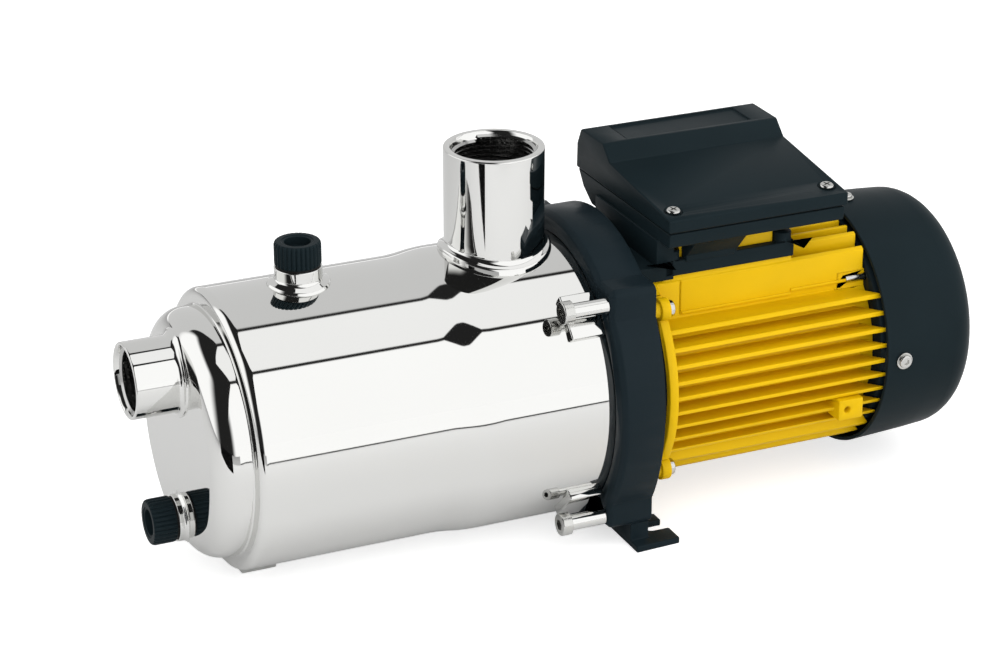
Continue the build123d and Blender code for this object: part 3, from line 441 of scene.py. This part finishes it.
def screw_thread(minor, major, pitch, turns, steps=56):
    """An inside thread along X: one tooth a pitch wide, carried round and forward."""
    bm = bmesh.new()
    crest, root = pitch * 0.10, pitch * 0.14
    points = [(0, major), (root, major), (pitch / 2, minor), (pitch / 2 + crest, minor), (pitch, major)]
    verts, edges = loop_of(bm, points, False)
    bmesh.ops.spin(
        bm, geom=verts + edges, cent=(0, 0, 0), axis=(1, 0, 0), dvec=(pitch / steps, 0, 0),
        angle=2 * pi * turns, steps=int(steps * turns), use_merge=False, use_duplicate=False)
    bmesh.ops.remove_doubles(bm, verts=bm.verts, dist=1e-3)
    bmesh.ops.recalc_face_normals(bm, faces=bm.faces)
    middle = sum((f.calc_center_median().yz.dot(f.normal.yz) for f in bm.faces), 0.0)
    if middle > 0:
        bmesh.ops.reverse_faces(bm, faces=bm.faces)
    return bm


ALONG_Z = Matrix(((0, 0, 1, 0), (0, 1, 0, 0), (-1, 0, 0, 0), (0, 0, 0, 1))).inverted()
ALONG_MINUS_X = Matrix.Rotation(pi, 4, "Z")
FROM_Z_TO_X = Matrix.Rotation(pi / 2, 4, "Y")


def add_piece(name, bm, finish, body, nodes=(), sharp=38.0):
    """The mesh as a finished piece that rides on a body and stands for CAD nodes."""
    moved(bm, TO_FRAME)
    mesh = bpy.data.meshes.new(name)
    bm.to_mesh(mesh)
    bm.free()
    mesh.materials.append(FINISHES[finish])
    mesh.shade_smooth()
    mesh.set_sharp_from_angle(angle=radians(sharp))
    piece = bpy.data.objects.new(name, mesh)
    bpy.context.scene.collection.objects.link(piece)
    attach(piece, body)
    if nodes:
        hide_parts(*nodes)
    return piece


def dressed(node, name, finish, body, width, angle=32.0, segments=2, shape=None):
    """A merged copy of a CAD node with its edges rounded, and its shape worked over first if asked."""
    bm = bmesh.new()
    bm.from_mesh(frame["nodes"][node].data)
    bmesh.ops.remove_doubles(bm, verts=bm.verts, dist=2e-6)
    bmesh.ops.dissolve_limit(
        bm, angle_limit=radians(0.4), use_dissolve_boundaries=False, verts=bm.verts, edges=bm.edges)
    moved(bm, TO_FRAME.inverted())
    if shape:
        bm = shape(bm)
    piece = add_piece(name, bm, finish, body, [node], sharp=180.0)
    bevel = piece.modifiers.new("rounded edges", "BEVEL")
    bevel.width = width
    bevel.segments = segments
    bevel.limit_method = "ANGLE"
    bevel.angle_limit = radians(angle)
    bevel.use_clamp_overlap = False
    bevel.harden_normals = True
    bevel.material = -1
    return piece


def flange_spots(along):
    """Where the four flange screws stand round the motor, at a distance along the shaft."""
    return [
        Matrix.Translation((
            along,
            FLANGE_SCREW_CIRCLE * cos(radians(angle)),
            FLANGE_SCREW_CIRCLE * sin(radians(angle))))
        for angle in FLANGE_SCREW_ANGLES]


def surface_drop(bm, axis_radius, full, none):
    """Lets the foot of a turned socket along Z follow the barrel under it."""
    for vert in bm.verts:
        share = min(1.0, max(0.0, (none - vert.co.z) / (none - full)))
        share = share * share * (3 - 2 * share)
        level = sqrt(max(1.0, axis_radius ** 2 - vert.co.y ** 2))
        vert.co.z += (level - axis_radius) * share
    return bm


# Pieces

class PUMP_OT_finishes(Operator):
    """Make the finishes and give every solid its own"""
    bl_idname = "pump.finishes"
    bl_label = "Finishes"

    def execute(self, context):
        make_finishes(context.scene.pump_colours)
        slots = {row["node"]: row["material_slot"] for row in frame["record"]["subparts"]}
        for name, node in frame["nodes"].items():
            node.data.materials.clear()
            node.data.materials.append(FINISHES[slots[name]])
        return {"FINISHED"}


class PUMP_OT_casing(Operator):
    """Turn the polished casing and open its ports"""
    bl_idname = "pump.casing"
    bl_label = "Casing"

    def execute(self, context):
        size = context.scene.pump_sizes
        front, rear = size.casing_radius * 1000, size.rear_radius * 1000
        cap, shoulder = size.cap_radius * 1000, size.cap_shoulder * 1000
        wall = 1.5
        outline = rounded([
            (END_FACE, 0.01),
            (END_FACE, 40.0),
            (END_FACE, cap, shoulder),
            (-3.1, cap, 0.9),
            (-2.5, front, 4.2),
            (20.0, front),
            (60.0, front),
            (101.5, front, 80.0),
            (116.0, rear, 80.0),
            (150.0, rear),
            (188.0, rear),
            (188.0, rear - wall),
            (116.0, rear - wall, 80.0),
            (101.5, front - wall, 80.0),
            (-1.0, front - wall, 3.0),
            (-1.0, cap - wall, 3.5),
            (-19.5, cap - wall, shoulder - wall),
            (-19.5, 0.01),
        ], steps=10, hold=0.6)
        shell = turned(outline, 224)
        holes = joined(
            moved(bar(19.5, 40), Matrix.Translation((DISCHARGE_X, 0, 50))),
            moved(bar(8.4, 40), Matrix.Translation((FILLER_X, 0, 50))),
            moved(bar(15.6, 30), Matrix.Translation((-35.0, 0, SUCTION_Z)) @ FROM_Z_TO_X),
            moved(bar(8.4, 30), Matrix.Translation((-35.0, 0, DRAIN_Z)) @ FROM_Z_TO_X),
        )
        shell = carved(shell, holes)
        add_piece(
            "casing_shell", shell, "polished_steel", "pump_body", ["pump_casing"], 30.0)
        return {"FINISHED"}


class PUMP_OT_discharge_socket(Operator):
    """Turn the discharge socket, set its flared foot on the barrel and cut its thread"""
    bl_idname = "pump.discharge_socket"
    bl_label = "Discharge socket"

    def execute(self, context):
        size = context.scene.pump_sizes
        outer, rear = size.discharge_radius * 1000, size.rear_radius * 1000
        pitch = size.thread_pitch * 1000
        minor, major = 19.5, 20.96
        turns = 11
        top = 124.5
        thread_foot = top - 1.4 - pitch * turns
        outline = rounded([
            (rear - 4.0, minor),
            (rear - 4.0, 27.6),
            (rear + 0.4, 28.4, 0.6),
            (rear + 3.0, 28.0, 1.3),
            (rear + 3.9, outer, 2.2),
            (top - 20, outer),
            (top, outer, 0.7),
            (top, 21.9, 0.3),
            (top - 1.4, major),
            (thread_foot, major),
            (thread_foot - 1.2, minor),
        ], steps=6, hold=0.3)
        socket = moved(turned(outline, 144), ALONG_Z)
        surface_drop(socket, rear, rear + 4.0, rear + 14.0)
        moved(socket, Matrix.Translation((DISCHARGE_X, 0, 0)))
        add_piece(
            "discharge_pipe", socket, "polished_steel", "pump_body",
            ["discharge_socket"], 40.0)
        thread = moved(
            screw_thread(minor, major, pitch, turns - 1),
            Matrix.Translation((DISCHARGE_X, 0, thread_foot)) @ ALONG_Z)
        add_piece("discharge_thread", thread, "thread_steel", "pump_body", (), 25.0)
        return {"FINISHED"}


class PUMP_OT_suction_socket(Operator):
    """Turn the suction socket, flare it into the domed end and cut its thread"""
    bl_idname = "pump.suction_socket"
    bl_label = "Suction socket"

    def execute(self, context):
        size = context.scene.pump_sizes
        outer, cap, shoulder = size.suction_radius * 1000, size.cap_radius * 1000, size.cap_shoulder * 1000
        pitch = size.thread_pitch * 1000
        minor, major = 15.15, 16.6
        turns = 8
        face = 24.4
        thread_foot = face - 1.3 - pitch * turns
        outline = rounded([
            (-4.0, minor),
            (-4.0, outer),
            (-1.0, outer + 1.0),
            (-0.3, outer + 3.0),
            (0.9, outer + 2.6, 0.8),
            (1.6, outer, 2.2),
            (10.0, outer),
            (face, outer, 0.6),
            (face, 17.5, 0.3),
            (face - 1.3, major),
            (thread_foot, major),
            (thread_foot - 1.2, minor),
        ], steps=6, hold=0.3)
        seat = Matrix.Translation((END_FACE, 0, SUCTION_Z)) @ ALONG_MINUS_X
        socket = moved(turned(outline, 128), seat)
        for vert in socket.verts:
            out = END_FACE - vert.co.x
            share = min(1.0, max(0.0, (8.0 - out) / 6.5))
            reach = sqrt(vert.co.y ** 2 + vert.co.z ** 2)
            over = min(shoulder - 0.01, max(0.0, reach - (cap - shoulder)))
            vert.co.x += (shoulder - sqrt(shoulder ** 2 - over ** 2)) * share
        add_piece(
            "suction_pipe", socket, "polished_steel", "pump_body",
            ["suction_socket"], 40.0)
        thread = moved(
            screw_thread(minor, major, pitch, turns - 1), seat @ Matrix.Translation((thread_foot, 0, 0)))
        add_piece("suction_thread", thread, "thread_steel", "pump_body", (), 25.0)
        return {"FINISHED"}


class PUMP_OT_port_bosses(Operator):
    """Turn the filler and drain bosses and set them on the casing"""
    bl_idname = "pump.port_bosses"
    bl_label = "Port bosses"

    def execute(self, context):
        front = context.scene.pump_sizes.casing_radius * 1000
        filler = moved(turned(rounded([
            (front - 2.0, 8.4),
            (front - 2.0, 14.6),
            (front + 0.2, 15.7, 0.3),
            (front + 1.3, 15.0, 0.7),
            (front + 2.8, 11.8, 1.6),
            (78.6, 11.8, 0.5),
            (78.6, 8.4, 0.2),
        ], steps=5, hold=0.2), 96), ALONG_Z)
        surface_drop(filler, front, front + 1.6, front + 6.0)
        moved(filler, Matrix.Translation((FILLER_X, 0, 0)))
        add_piece(
            "filler_neck", filler, "polished_steel", "pump_body", ["filler_boss"], 40.0)
        drain = moved(turned(rounded([
            (-2.0, 8.4),
            (-2.0, 13.0),
            (-0.2, 13.4),
            (0.5, 12.9, 0.4),
            (1.2, 11.8, 0.6),
            (3.9, 11.8, 0.5),
            (3.9, 8.4, 0.2),
        ], steps=4, hold=0.15), 80), Matrix.Translation((END_FACE, 0, DRAIN_Z)) @ ALONG_MINUS_X)
        for vert in drain.verts:
            share = min(1.0, max(0.0, (vert.co.x + 24.0) / 2.0))
            over = min(12.9, max(0.0, sqrt(vert.co.y ** 2 + vert.co.z ** 2) - 49.0))
            vert.co.x += (13.0 - sqrt(169.0 - over ** 2)) * share
        add_piece("drain_neck", drain, "polished_steel", "pump_body", ["drain_boss"], 40.0)
        return {"FINISHED"}


class PUMP_OT_plugs(Operator):
    """Make the two fluted plugs"""
    bl_idname = "pump.plugs"
    bl_label = "Plugs"

    def plug(self, flutes):
        """A fluted cap along X with a driving socket, its seat at zero."""
        steps = flutes * 8
        outline = rounded([
            (-8.5, 0.01),
            (-8.5, 8.25, 0.6),
            (0.0, 8.25, 0.1),
            (0.0, 11.2, 0.3),
            (0.8, 11.5),
            (9.9, 11.5),
            (11.7, 11.1, 1.3),
            (11.7, 8.0, 0.3),
            (11.2, 7.6, 0.2),
            (11.2, 6.5, 0.3),
            (6.7, 6.5, 0.3),
            (6.7, 0.01),
        ], steps=4, hold=0.15)
        bm = turned(outline, steps)
        for vert in bm.verts:
            radius = sqrt(vert.co.y ** 2 + vert.co.z ** 2)
            if radius > 10.3 and vert.co.x > 0.2:
                wave = 0.5 + 0.5 * cos(atan2(vert.co.z, vert.co.y) * flutes)
                depth = 0.75 * wave ** 3 * min(1.0, (radius - 10.3) / 0.8)
                scale = (radius - depth) / radius
                vert.co.y *= scale
                vert.co.z *= scale
        return bm

    def execute(self, context):
        flutes = context.scene.pump_sizes.cap_flutes
        top = moved(self.plug(flutes), Matrix.Translation((FILLER_X, 0, 79.6)) @ ALONG_Z)
        add_piece("filler_cap", top, "black_plastic", "filler_turn", ["filler_plug"], 42.0)
        end = moved(self.plug(flutes), Matrix.Translation((-25.9, 0, DRAIN_Z)) @ ALONG_MINUS_X)
        add_piece("drain_cap", end, "black_plastic", "drain_turn", ["drain_plug"], 42.0)
        return {"FINISHED"}


class PUMP_OT_castings(Operator):
    """Round the edges of the bracket, the finned motor frame and the sheet parts"""
    bl_idname = "pump.castings"
    bl_label = "Castings"

    def with_shade_ring(self, bm):
        """The bracket, pulled back and slimmed behind its rim, with a black ring over the groove before the
        motor's flange: painted shade for the dark gap there.
        """
        rim, bore, side, slimming = 205.5, 59.0, 65.5, 0.76
        for vert in bm.verts:
            if vert.co.x > rim and sqrt(vert.co.y ** 2 + vert.co.z ** 2) > bore:
                vert.co.x -= 1.5
                past = abs(vert.co.y) - side
                if past > 0.1:
                    vert.co.y *= (side + slimming * past) / (side + past)
        # A black ring over the groove floor, painted shade so that the gap between bracket and flange stays
        # dark.
        shade_ring = turned(rounded([
            (203.0, 60.0),
            (203.0, 62.6),
            (213.2, 62.6),
            (213.2, 60.0),
        ]), 128)
        return joined(bm, shade_ring)

    def with_pointed_fins(self, bm):
        """The motor frame with fins that reach furthest at their tips, a slim flange and two ledges."""
        tip, envelope = 339.5, 62.0
        for vert in bm.verts:
            radius = sqrt(vert.co.y ** 2 + vert.co.z ** 2)
            if 328.9 < vert.co.x < 336.1 and vert.co.z < 36.0 and radius > 51.0:
                vert.co.x = tip - min(10.5, max(0.0, envelope - radius))
        gap = turned([
            (205.0, 61.7), (205.0, 90.0), (218.4, 90.0), (218.4, 66.05), (212.9, 66.05), (212.9, 61.7)], 128)
        bm = carved(bm, gap)
        crown = slab(13.0, 100.0, 20.0, (205.0, -50.0, 55.5))
        bm = carved(bm, crown)
        seam = slab(0.5, 1.0, 19.0, (231.0, -39.4, 35.5))
        bm = carved(bm, seam)
        panel_end = slab(18.0, 8.0, 13.0, (319.5, -46.9, 33.6))
        bm = carved(bm, panel_end)
        low = soft_slab(62.0, 1.6, 1.5, (232.0, -39.8, 35.4))
        high = soft_slab(32.5, 1.6, 1.6, (294.0, -39.8, 37.2))
        lobe = turned(rounded([
            (204.5, 0.01), (204.5, 4.0), (212.9, 4.0), (212.9, 5.8), (218.0, 5.8, 0.5), (218.0, 0.01)],
            steps=3, hold=0.05), 48)
        lobes = copied(lobe, *flange_spots(0.0))
        return joined(bm, low, high, lobes)

    def execute(self, context):
        size = context.scene.pump_sizes
        dressed(
            "motor_bracket", "bracket_casting", "black_casting", "pump_body",
            size.casting_edge, shape=self.with_shade_ring)
        dressed(
            "motor_frame", "finned_frame", "yellow_casting", "pump_body",
            size.fin_edge, shape=self.with_pointed_fins)
        dressed("front_foot", "folded_foot", "polished_steel", "pump_body", 0.0004)
        dressed(
            "rear_shield", "rear_end_shield", "black_casting", "pump_body",
            size.casting_edge)
        return {"FINISHED"}


class PUMP_OT_terminal_box(Operator):
    """Round the terminal box's mouldings"""
    bl_idname = "pump.terminal_box"
    bl_label = "Terminal box"

    def with_skirt(self, bm):
        """The base with the skirt that closes the gap over the motor's flange."""
        skirt = soft_slab(20.4, 70.0, 8.0, (206.3, -40.0, 55.4))
        wall = soft_slab(9.7, 70.0, 15.0, (217.0, -40.0, 62.5))
        front = soft_slab(27.0, 2.0, 14.0, (233.0, -41.0, 64.0))
        return joined(bm, skirt, wall, front)

    def execute(self, context):
        edge = context.scene.pump_sizes.moulding_edge
        dressed("terminal_box_lid", "box_lid", "black_plastic", "pump_body", edge)
        dressed(
            "terminal_box_base", "box_base", "black_plastic", "pump_body",
            edge * 0.7, shape=self.with_skirt)
        dressed("gland_nut", "gland_clamping_nut", "black_plastic", "pump_body", 0.0004)
        dressed("gland_body", "gland_hexagon", "black_plastic", "pump_body", 0.0004)
        return {"FINISHED"}


class PUMP_OT_fan_cover(Operator):
    """Turn the fan cover and cut its grille"""
    bl_idname = "pump.fan_cover"
    bl_label = "Fan cover"

    def execute(self, context):
        outline = rounded([
            (337.5, 64.0, 0.3),
            (337.5, 66.0, 0.5),
            (366.0, 64.6, 60.0),
            (395.0, 62.6, 17.0),
            (395.0, 49.0),
            (395.0, 13.5),
            (395.0, 0.01),
            (393.0, 0.01),
            (393.0, 13.5),
            (393.0, 60.6, 15.0),
        ], steps=9, hold=0.4)
        cowl = turned(outline, 160)
        slots = []
        sector = pi / 3
        for ring in range(4):
            inner = 13.0 + ring * 9.0
            middle = inner + 2.5
            gap = 2 * asin(2.0 / middle)
            for spoke in range(6):
                start = Matrix.Rotation(spoke * sector + gap / 2, 3, "X")
                bm = bmesh.new()
                verts, edges = loop_of(bm, [(390, inner), (398, inner), (398, inner + 5), (390, inner + 5)])
                face = bm.faces.new(verts)
                bmesh.ops.rotate(bm, verts=bm.verts, cent=(0, 0, 0), matrix=start)
                bmesh.ops.spin(
                    bm, geom=[face, *verts, *edges], cent=(0, 0, 0), axis=(1, 0, 0), dvec=(0, 0, 0),
                    angle=sector - gap, steps=14, use_merge=False, use_duplicate=False)
                bmesh.ops.recalc_face_normals(bm, faces=bm.faces)
                slots.append(bm)
        for turn in range(4):
            slots.append(moved(
                bar(2.1, 20, 24),
                Matrix.Rotation(turn * pi / 2, 4, "X") @ Matrix.Translation((COVER_SCREW_X, 0, 55))))
        cowl = carved(cowl, joined(*slots))
        add_piece("fan_cowl", cowl, "black_plastic", "pump_body", ["fan_cover"], 32.0)
        return {"FINISHED"}


class PUMP_OT_screws(Operator):
    """Make the screw heads with their drives"""
    bl_idname = "pump.screws"
    bl_label = "Screws"

    def head(self, radius, height, rounding, drive, shank, reach):
        """A screw along +X: head above zero with its drive, shank below."""
        bm = turned(rounded([
            (-reach, 0.01),
            (-reach, shank * 0.7),
            (-reach + shank * 0.5, shank),
            (0.0, shank),
            (0.0, radius, 0.15),
            (height, radius, rounding),
            (height, 0.01),
        ], steps=6, hold=0.05), 64)
        if drive == "cross":
            tools = []
            for angle in (0.4, 0.4 + pi / 2):
                blade = slab(3.0, radius * 1.15, 0.85, (height - 1.1, -radius * 0.575, -0.425))
                tools.append(moved(blade, Matrix.Rotation(angle, 4, "X")))
            for tool in tools:
                bm = carved(bm, tool)
        else:
            key = moved(
                bar(drive, height, sides=6), Matrix.Translation((height * 0.45, 0, 0)) @ FROM_Z_TO_X)
            bm = carved(bm, key)
        return bm

    def sleeves(self, corners, start):
        """A spacer sleeve at each corner, over a folded tab on the barrel."""
        sleeve = turned(rounded(
            [(start, 3.05), (start, 4.0, 0.3), (180.0, 4.0, 0.3), (180.0, 3.05)], steps=3, hold=0.05), 48)
        tab = soft_slab(18.0, 4.0, 23.0, (start, 70.8, -11.5), 0.7)
        spots = [Matrix.Translation((0, y, z)) for y, z in corners]
        turns = [Matrix.Rotation(atan2(z, y), 4, "X") for y, z in corners]
        return joined(copied(sleeve, *spots), copied(tab, *turns))

    def set_screws(self, name, screw, spots, node):
        """The screw once at each spot, as one piece of bright steel."""
        add_piece(
            name, copied(screw, *spots), "bright_steel", "pump_body", [node], 30.0)

    def execute(self, context):
        corners = [(y, z) for y in (-60.0, 60.0) for z in (-57.0, 57.0)]
        neck = 161.0
        add_piece(
            "sleeves_and_tabs", self.sleeves(corners, neck), "polished_steel", "pump_body",
            ["casing_screw_sleeves"], 30.0)
        long_screw = self.head(5.7, 5.4, 0.7, 2.9, 3.0, 35.0)
        spots = [
            Matrix.Translation((neck, y, z)) @ ALONG_MINUS_X @ Matrix.Rotation(y + z, 4, "X")
            for y, z in corners]
        self.set_screws("long_cap_screws", long_screw, spots, "casing_screws")

        short_screw = self.head(4.2, 3.4, 0.9, 2.4, 3.0, 22.0)
        self.set_screws("flange_cap_screws", short_screw, flange_spots(217.6), "flange_screws")

        cover_screw = self.head(3.5, 1.7, 0.9, 1.7, 1.6, 13.0)
        washer = turned(rounded(
            [(-0.9, 1.7), (-0.9, 4.5, 0.25), (0.0, 4.5, 0.25), (0.0, 1.7)], steps=3, hold=0.05), 48)
        whole = joined(cover_screw, washer)
        spots = [
            Matrix.Rotation(turn * pi / 2, 4, "X") @ Matrix.Translation((COVER_SCREW_X, 0, 66.7)) @ ALONG_Z
            for turn in range(4)]
        self.set_screws("cover_screws", whole, spots, "fan_cover_screws")

        lid_screw = self.head(3.6, 2.0, 1.3, "cross", 1.9, 13.0)
        tilt = atan2(8.0, 67.0)
        spots = [
            Matrix.Translation((x, -43.0, 92.45)) @ Matrix.Rotation(tilt, 4, "X") @ ALONG_Z
            for x in (224.0, 310.0)]
        self.set_screws("box_lid_screws", lid_screw, spots, "lid_screws")
        return {"FINISHED"}


# Studio

def stage_sheet(name, corners, material, only_reflected):
    """A flat stage sheet from its four corners, in metres."""
    bm = bmesh.new()
    bm.faces.new([bm.verts.new(corner) for corner in corners])
    mesh = bpy.data.meshes.new(name)
    bm.to_mesh(mesh)
    bm.free()
    mesh.materials.append(material)
    sheet = bpy.data.objects.new(name, mesh)
    bpy.context.scene.collection.objects.link(sheet)
    if only_reflected:
        sheet.visible_camera = False
        sheet.visible_diffuse = False
        sheet.visible_shadow = False
        sheet.visible_transmission = False
    return sheet


def stage_card(name, left, right, depth, bottom, top, material):
    """An upright card that only shows where it is mirrored."""
    corners = [(left, depth, bottom), (right, depth, bottom), (right, depth, top), (left, depth, top)]
    return stage_sheet(name, corners, material, True)


def plain_matt(name, value):
    """A matt stage colour."""
    material, tree, shader = nodes_of(name)
    shader.inputs["Base Color"].default_value = (value, value, value, 1)
    shader.inputs["Roughness"].default_value = 0.9
    shader.inputs["Specular IOR Level"].default_value = 0.0
    return material


def sums(tree, operation, first, second=None, third=None):
    """One step of arithmetic on sockets or numbers."""
    node = tree.nodes.new("ShaderNodeMath")
    node.operation = operation
    for socket, value in zip(node.inputs, (first, second, third)):
        if value is None:
            continue
        if isinstance(value, (int, float)):
            socket.default_value = value
        else:
            tree.links.new(value, socket)
    return node.outputs[0]


def step_up(tree, value, start, end):
    """A soft step from 0 at start to 1 at end, in degrees."""
    node = tree.nodes.new("ShaderNodeMapRange")
    node.interpolation_type = "SMOOTHSTEP"
    tree.links.new(value, node.inputs["Value"])
    node.inputs["From Min"].default_value = start
    node.inputs["From Max"].default_value = end
    return node.outputs["Result"]


def by_ray(tree, camera, mirror, elsewhere):
    """A strength for what is seen directly, for what is mirrored, and for the light on matt surfaces."""
    path = tree.nodes.new("ShaderNodeLightPath")
    mirrored = sums(tree, "MAXIMUM", path.outputs["Is Glossy Ray"], path.outputs["Is Transmission Ray"])
    level = elsewhere
    for share, target in ((mirrored, mirror), (path.outputs["Is Camera Ray"], camera)):
        node = tree.nodes.new("ShaderNodeMix")
        node.data_type = "FLOAT"
        tree.links.new(share, node.inputs["Factor"])
        for socket, value in ((node.inputs["A"], level), (node.inputs["B"], target)):
            if isinstance(value, (int, float)):
                socket.default_value = value
            else:
                tree.links.new(value, socket)
        level = node.outputs["Result"]
    return level


def mirrored_room(tree, brightness):
    """The room that polished steel reflects: a front, a top and a side panel with dark gaps between them."""
    where = tree.nodes.new("ShaderNodeTexCoord")
    split = tree.nodes.new("ShaderNodeSeparateXYZ")
    tree.links.new(where.outputs["Generated"], split.inputs["Vector"])
    east, north, up = split.outputs
    ahead = sums(tree, "MULTIPLY", north, -1.0)
    degrees = 180 / pi
    roll = sums(tree, "MULTIPLY", sums(tree, "ARCTAN2", up, ahead), degrees)
    lean = sums(tree, "MULTIPLY", sums(tree, "ARCSINE", east), degrees)
    round_z = sums(tree, "MULTIPLY", sums(tree, "ARCTAN2", east, ahead), degrees)
    height = sums(tree, "MULTIPLY", sums(tree, "ARCSINE", up), degrees)

    front_seam, back_seam = 64.6, 104.8
    leftward = sums(tree, "MAXIMUM", sums(tree, "SUBTRACT", 17.0, lean), 0.0)
    gap = sums(tree, "MULTIPLY_ADD", leftward, 0.8, 0.7)
    front_top = sums(tree, "SUBTRACT", sums(tree, "SUBTRACT", front_seam, gap), roll)
    top_front = sums(tree, "SUBTRACT", roll, sums(tree, "ADD", front_seam, gap))
    top_back = sums(tree, "SUBTRACT", sums(tree, "SUBTRACT", back_seam, gap), roll)
    back_top = sums(tree, "SUBTRACT", roll, sums(tree, "ADD", back_seam, gap))

    front = sums(tree, "MULTIPLY", step_up(tree, front_top, 0.0, 1.2), step_up(tree, lean, -25.0, -8.0))
    top = sums(tree, "MULTIPLY", step_up(tree, top_front, 0.0, 1.2), step_up(tree, top_back, 0.0, 1.5))
    top = sums(tree, "MULTIPLY", sums(tree, "MULTIPLY", top, step_up(tree, lean, -24.0, -14.0)), 0.88)
    back = sums(tree, "MULTIPLY", step_up(tree, back_top, 0.0, 2.0), 0.56)
    side = sums(tree, "MULTIPLY", step_up(tree, round_z, -152.0, -142.0), step_up(tree, round_z, -66.0, -92.0))
    side = sums(tree, "MULTIPLY", side, step_up(tree, height, 56.0, 44.0))
    room = sums(tree, "MAXIMUM", sums(tree, "MAXIMUM", front, top), sums(tree, "MAXIMUM", back, side))
    return sums(tree, "MULTIPLY_ADD", room, brightness, 0.02)


def panel_lamp(name, centre, facing, length, width, brightness):
    """A large soft panel whose surface has a given brightness."""
    lamp = bpy.data.lights.new(name, "AREA")
    lamp.shape = "RECTANGLE"
    lamp.size = length
    lamp.size_y = width
    lamp.energy = brightness * pi * length * width
    holder = bpy.data.objects.new(name, lamp)
    holder.location = centre
    holder.rotation_mode = "QUATERNION"
    direction = Vector(facing).normalized()
    side = Vector((1, 0, 0))
    up = direction.cross(side).normalized()
    holder.rotation_quaternion = Matrix((side, up, side.cross(up))).transposed().to_quaternion()
    if (holder.rotation_quaternion @ Vector((0, 0, -1))).dot(direction) < 0:
        holder.rotation_quaternion = Matrix((side, -up, side.cross(-up))).transposed().to_quaternion()
    holder.visible_camera = False
    holder.visible_glossy = False
    bpy.context.scene.collection.objects.link(holder)
    return holder


class PUMP_OT_studio(Operator):
    """Set the floor, the soft panels, the dark cards and the camera"""
    bl_idname = "pump.studio"
    bl_label = "Studio"

    def execute(self, context):
        scene = context.scene
        studio = scene.pump_studio

        camera = bpy.data.objects.new("camera", bpy.data.cameras.new("camera"))
        scene.collection.objects.link(camera)
        camera.data.sensor_width = 36.0
        camera.data.lens = studio.lens
        camera.data.shift_x = -0.0021
        camera.data.shift_y = 0.0038
        camera.data.clip_start, camera.data.clip_end = 0.05, 30.0
        azimuth, height = radians(-24.07), radians(23.42)
        forward = Vector((-sin(azimuth) * cos(height), cos(azimuth) * cos(height), -sin(height)))
        camera.location = (-0.5894, -1.2671, 0.7011)
        camera.rotation_mode = "QUATERNION"
        camera.rotation_quaternion = forward.to_track_quat("-Z", "Y")
        scene.camera = camera

        world = bpy.data.worlds.new("room")
        world.use_nodes = True
        scene.world = world
        back = world.node_tree.nodes["Background"]
        back.inputs["Color"].default_value = (1, 1, 1, 1)
        room = mirrored_room(world.node_tree, studio.room_light)
        strength = by_ray(world.node_tree, 1.0, room, studio.fill_light)
        world.node_tree.links.new(strength, back.inputs["Strength"])

        material, tree, shader = nodes_of("floor")
        shader.inputs["Base Color"].default_value = (0.80, 0.80, 0.80, 1)
        shader.inputs["Roughness"].default_value = 0.9
        shader.inputs["Specular IOR Level"].default_value = 0.0
        shader.inputs["Emission Color"].default_value = (1, 1, 1, 1)
        tree.links.new(by_ray(tree, 0.62, 0.05, 0.0), shader.inputs["Emission Strength"])
        stage_sheet("floor", [(-4, -4, 0), (4, -4, 0), (4, 4, 0), (-4, 4, 0)], material, False)

        panel_lamp("front_panel", (0.25, -0.60, 0.63), (0, 1, 0), 2.8, 1.20, studio.panel_light)
        panel_lamp("top_panel", (0.15, -0.13, 1.30), (0, 0, -1), 2.8, 0.80, studio.panel_light * 0.9)

        if studio.cards:
            dark = plain_matt("dark_card", 0.01)
            grey = plain_matt("grey_card", 0.12)
            white, tree, shader = nodes_of("white_card")
            shader.inputs["Base Color"].default_value = (0, 0, 0, 1)
            shader.inputs["Emission Color"].default_value = (1, 1, 1, 1)
            shader.inputs["Emission Strength"].default_value = studio.room_light
            stage_card("panel_foot", -0.16, 2.4, -0.6, 0.012, 0.16, white)
            stage_card("floor_seam", -0.16, 2.4, -0.59, 0.002, 0.012, grey)
            stage_card("camera_card", -0.90, -0.31, -0.30, 0.0, 0.09, dark)

        scene.view_settings.view_transform = "Standard"
        return {"FINISHED"}


class PUMP_PT_panel(Panel):
    """The pump's steps in the sidebar"""
    bl_idname = "PUMP_PT_panel"
    bl_label = "Water Pressure Pump"
    bl_space_type = "VIEW_3D"
    bl_region_type = "UI"
    bl_category = "Pump"

    def draw(self, context):
        for step in STEPS:
            self.layout.operator(step.bl_idname)
        for group in (context.scene.pump_sizes, context.scene.pump_colours, context.scene.pump_studio):
            box = self.layout.box()
            for name in group.__annotations__:
                box.prop(group, name)


GROUPS = (PumpSizes, PumpColours, PumpStudio)
STEPS = (
    PUMP_OT_finishes,
    PUMP_OT_casing,
    PUMP_OT_discharge_socket,
    PUMP_OT_suction_socket,
    PUMP_OT_port_bosses,
    PUMP_OT_plugs,
    PUMP_OT_castings,
    PUMP_OT_terminal_box,
    PUMP_OT_fan_cover,
    PUMP_OT_screws,
    PUMP_OT_studio,
)


def register():
    for cls in (*GROUPS, *STEPS, PUMP_PT_panel):
        bpy.utils.register_class(cls)
    bpy.types.Scene.pump_sizes = PointerProperty(type=PumpSizes)
    bpy.types.Scene.pump_colours = PointerProperty(type=PumpColours)
    bpy.types.Scene.pump_studio = PointerProperty(type=PumpStudio)


def unregister():
    del bpy.types.Scene.pump_sizes
    del bpy.types.Scene.pump_colours
    del bpy.types.Scene.pump_studio
    for cls in (PUMP_PT_panel, *reversed(STEPS), *reversed(GROUPS)):
        bpy.utils.unregister_class(cls)


def main():
    register()
    for step in STEPS:
        family, action = step.bl_idname.split(".")
        getattr(getattr(bpy.ops, family), action)()


if __name__ == "__main__":
    main()
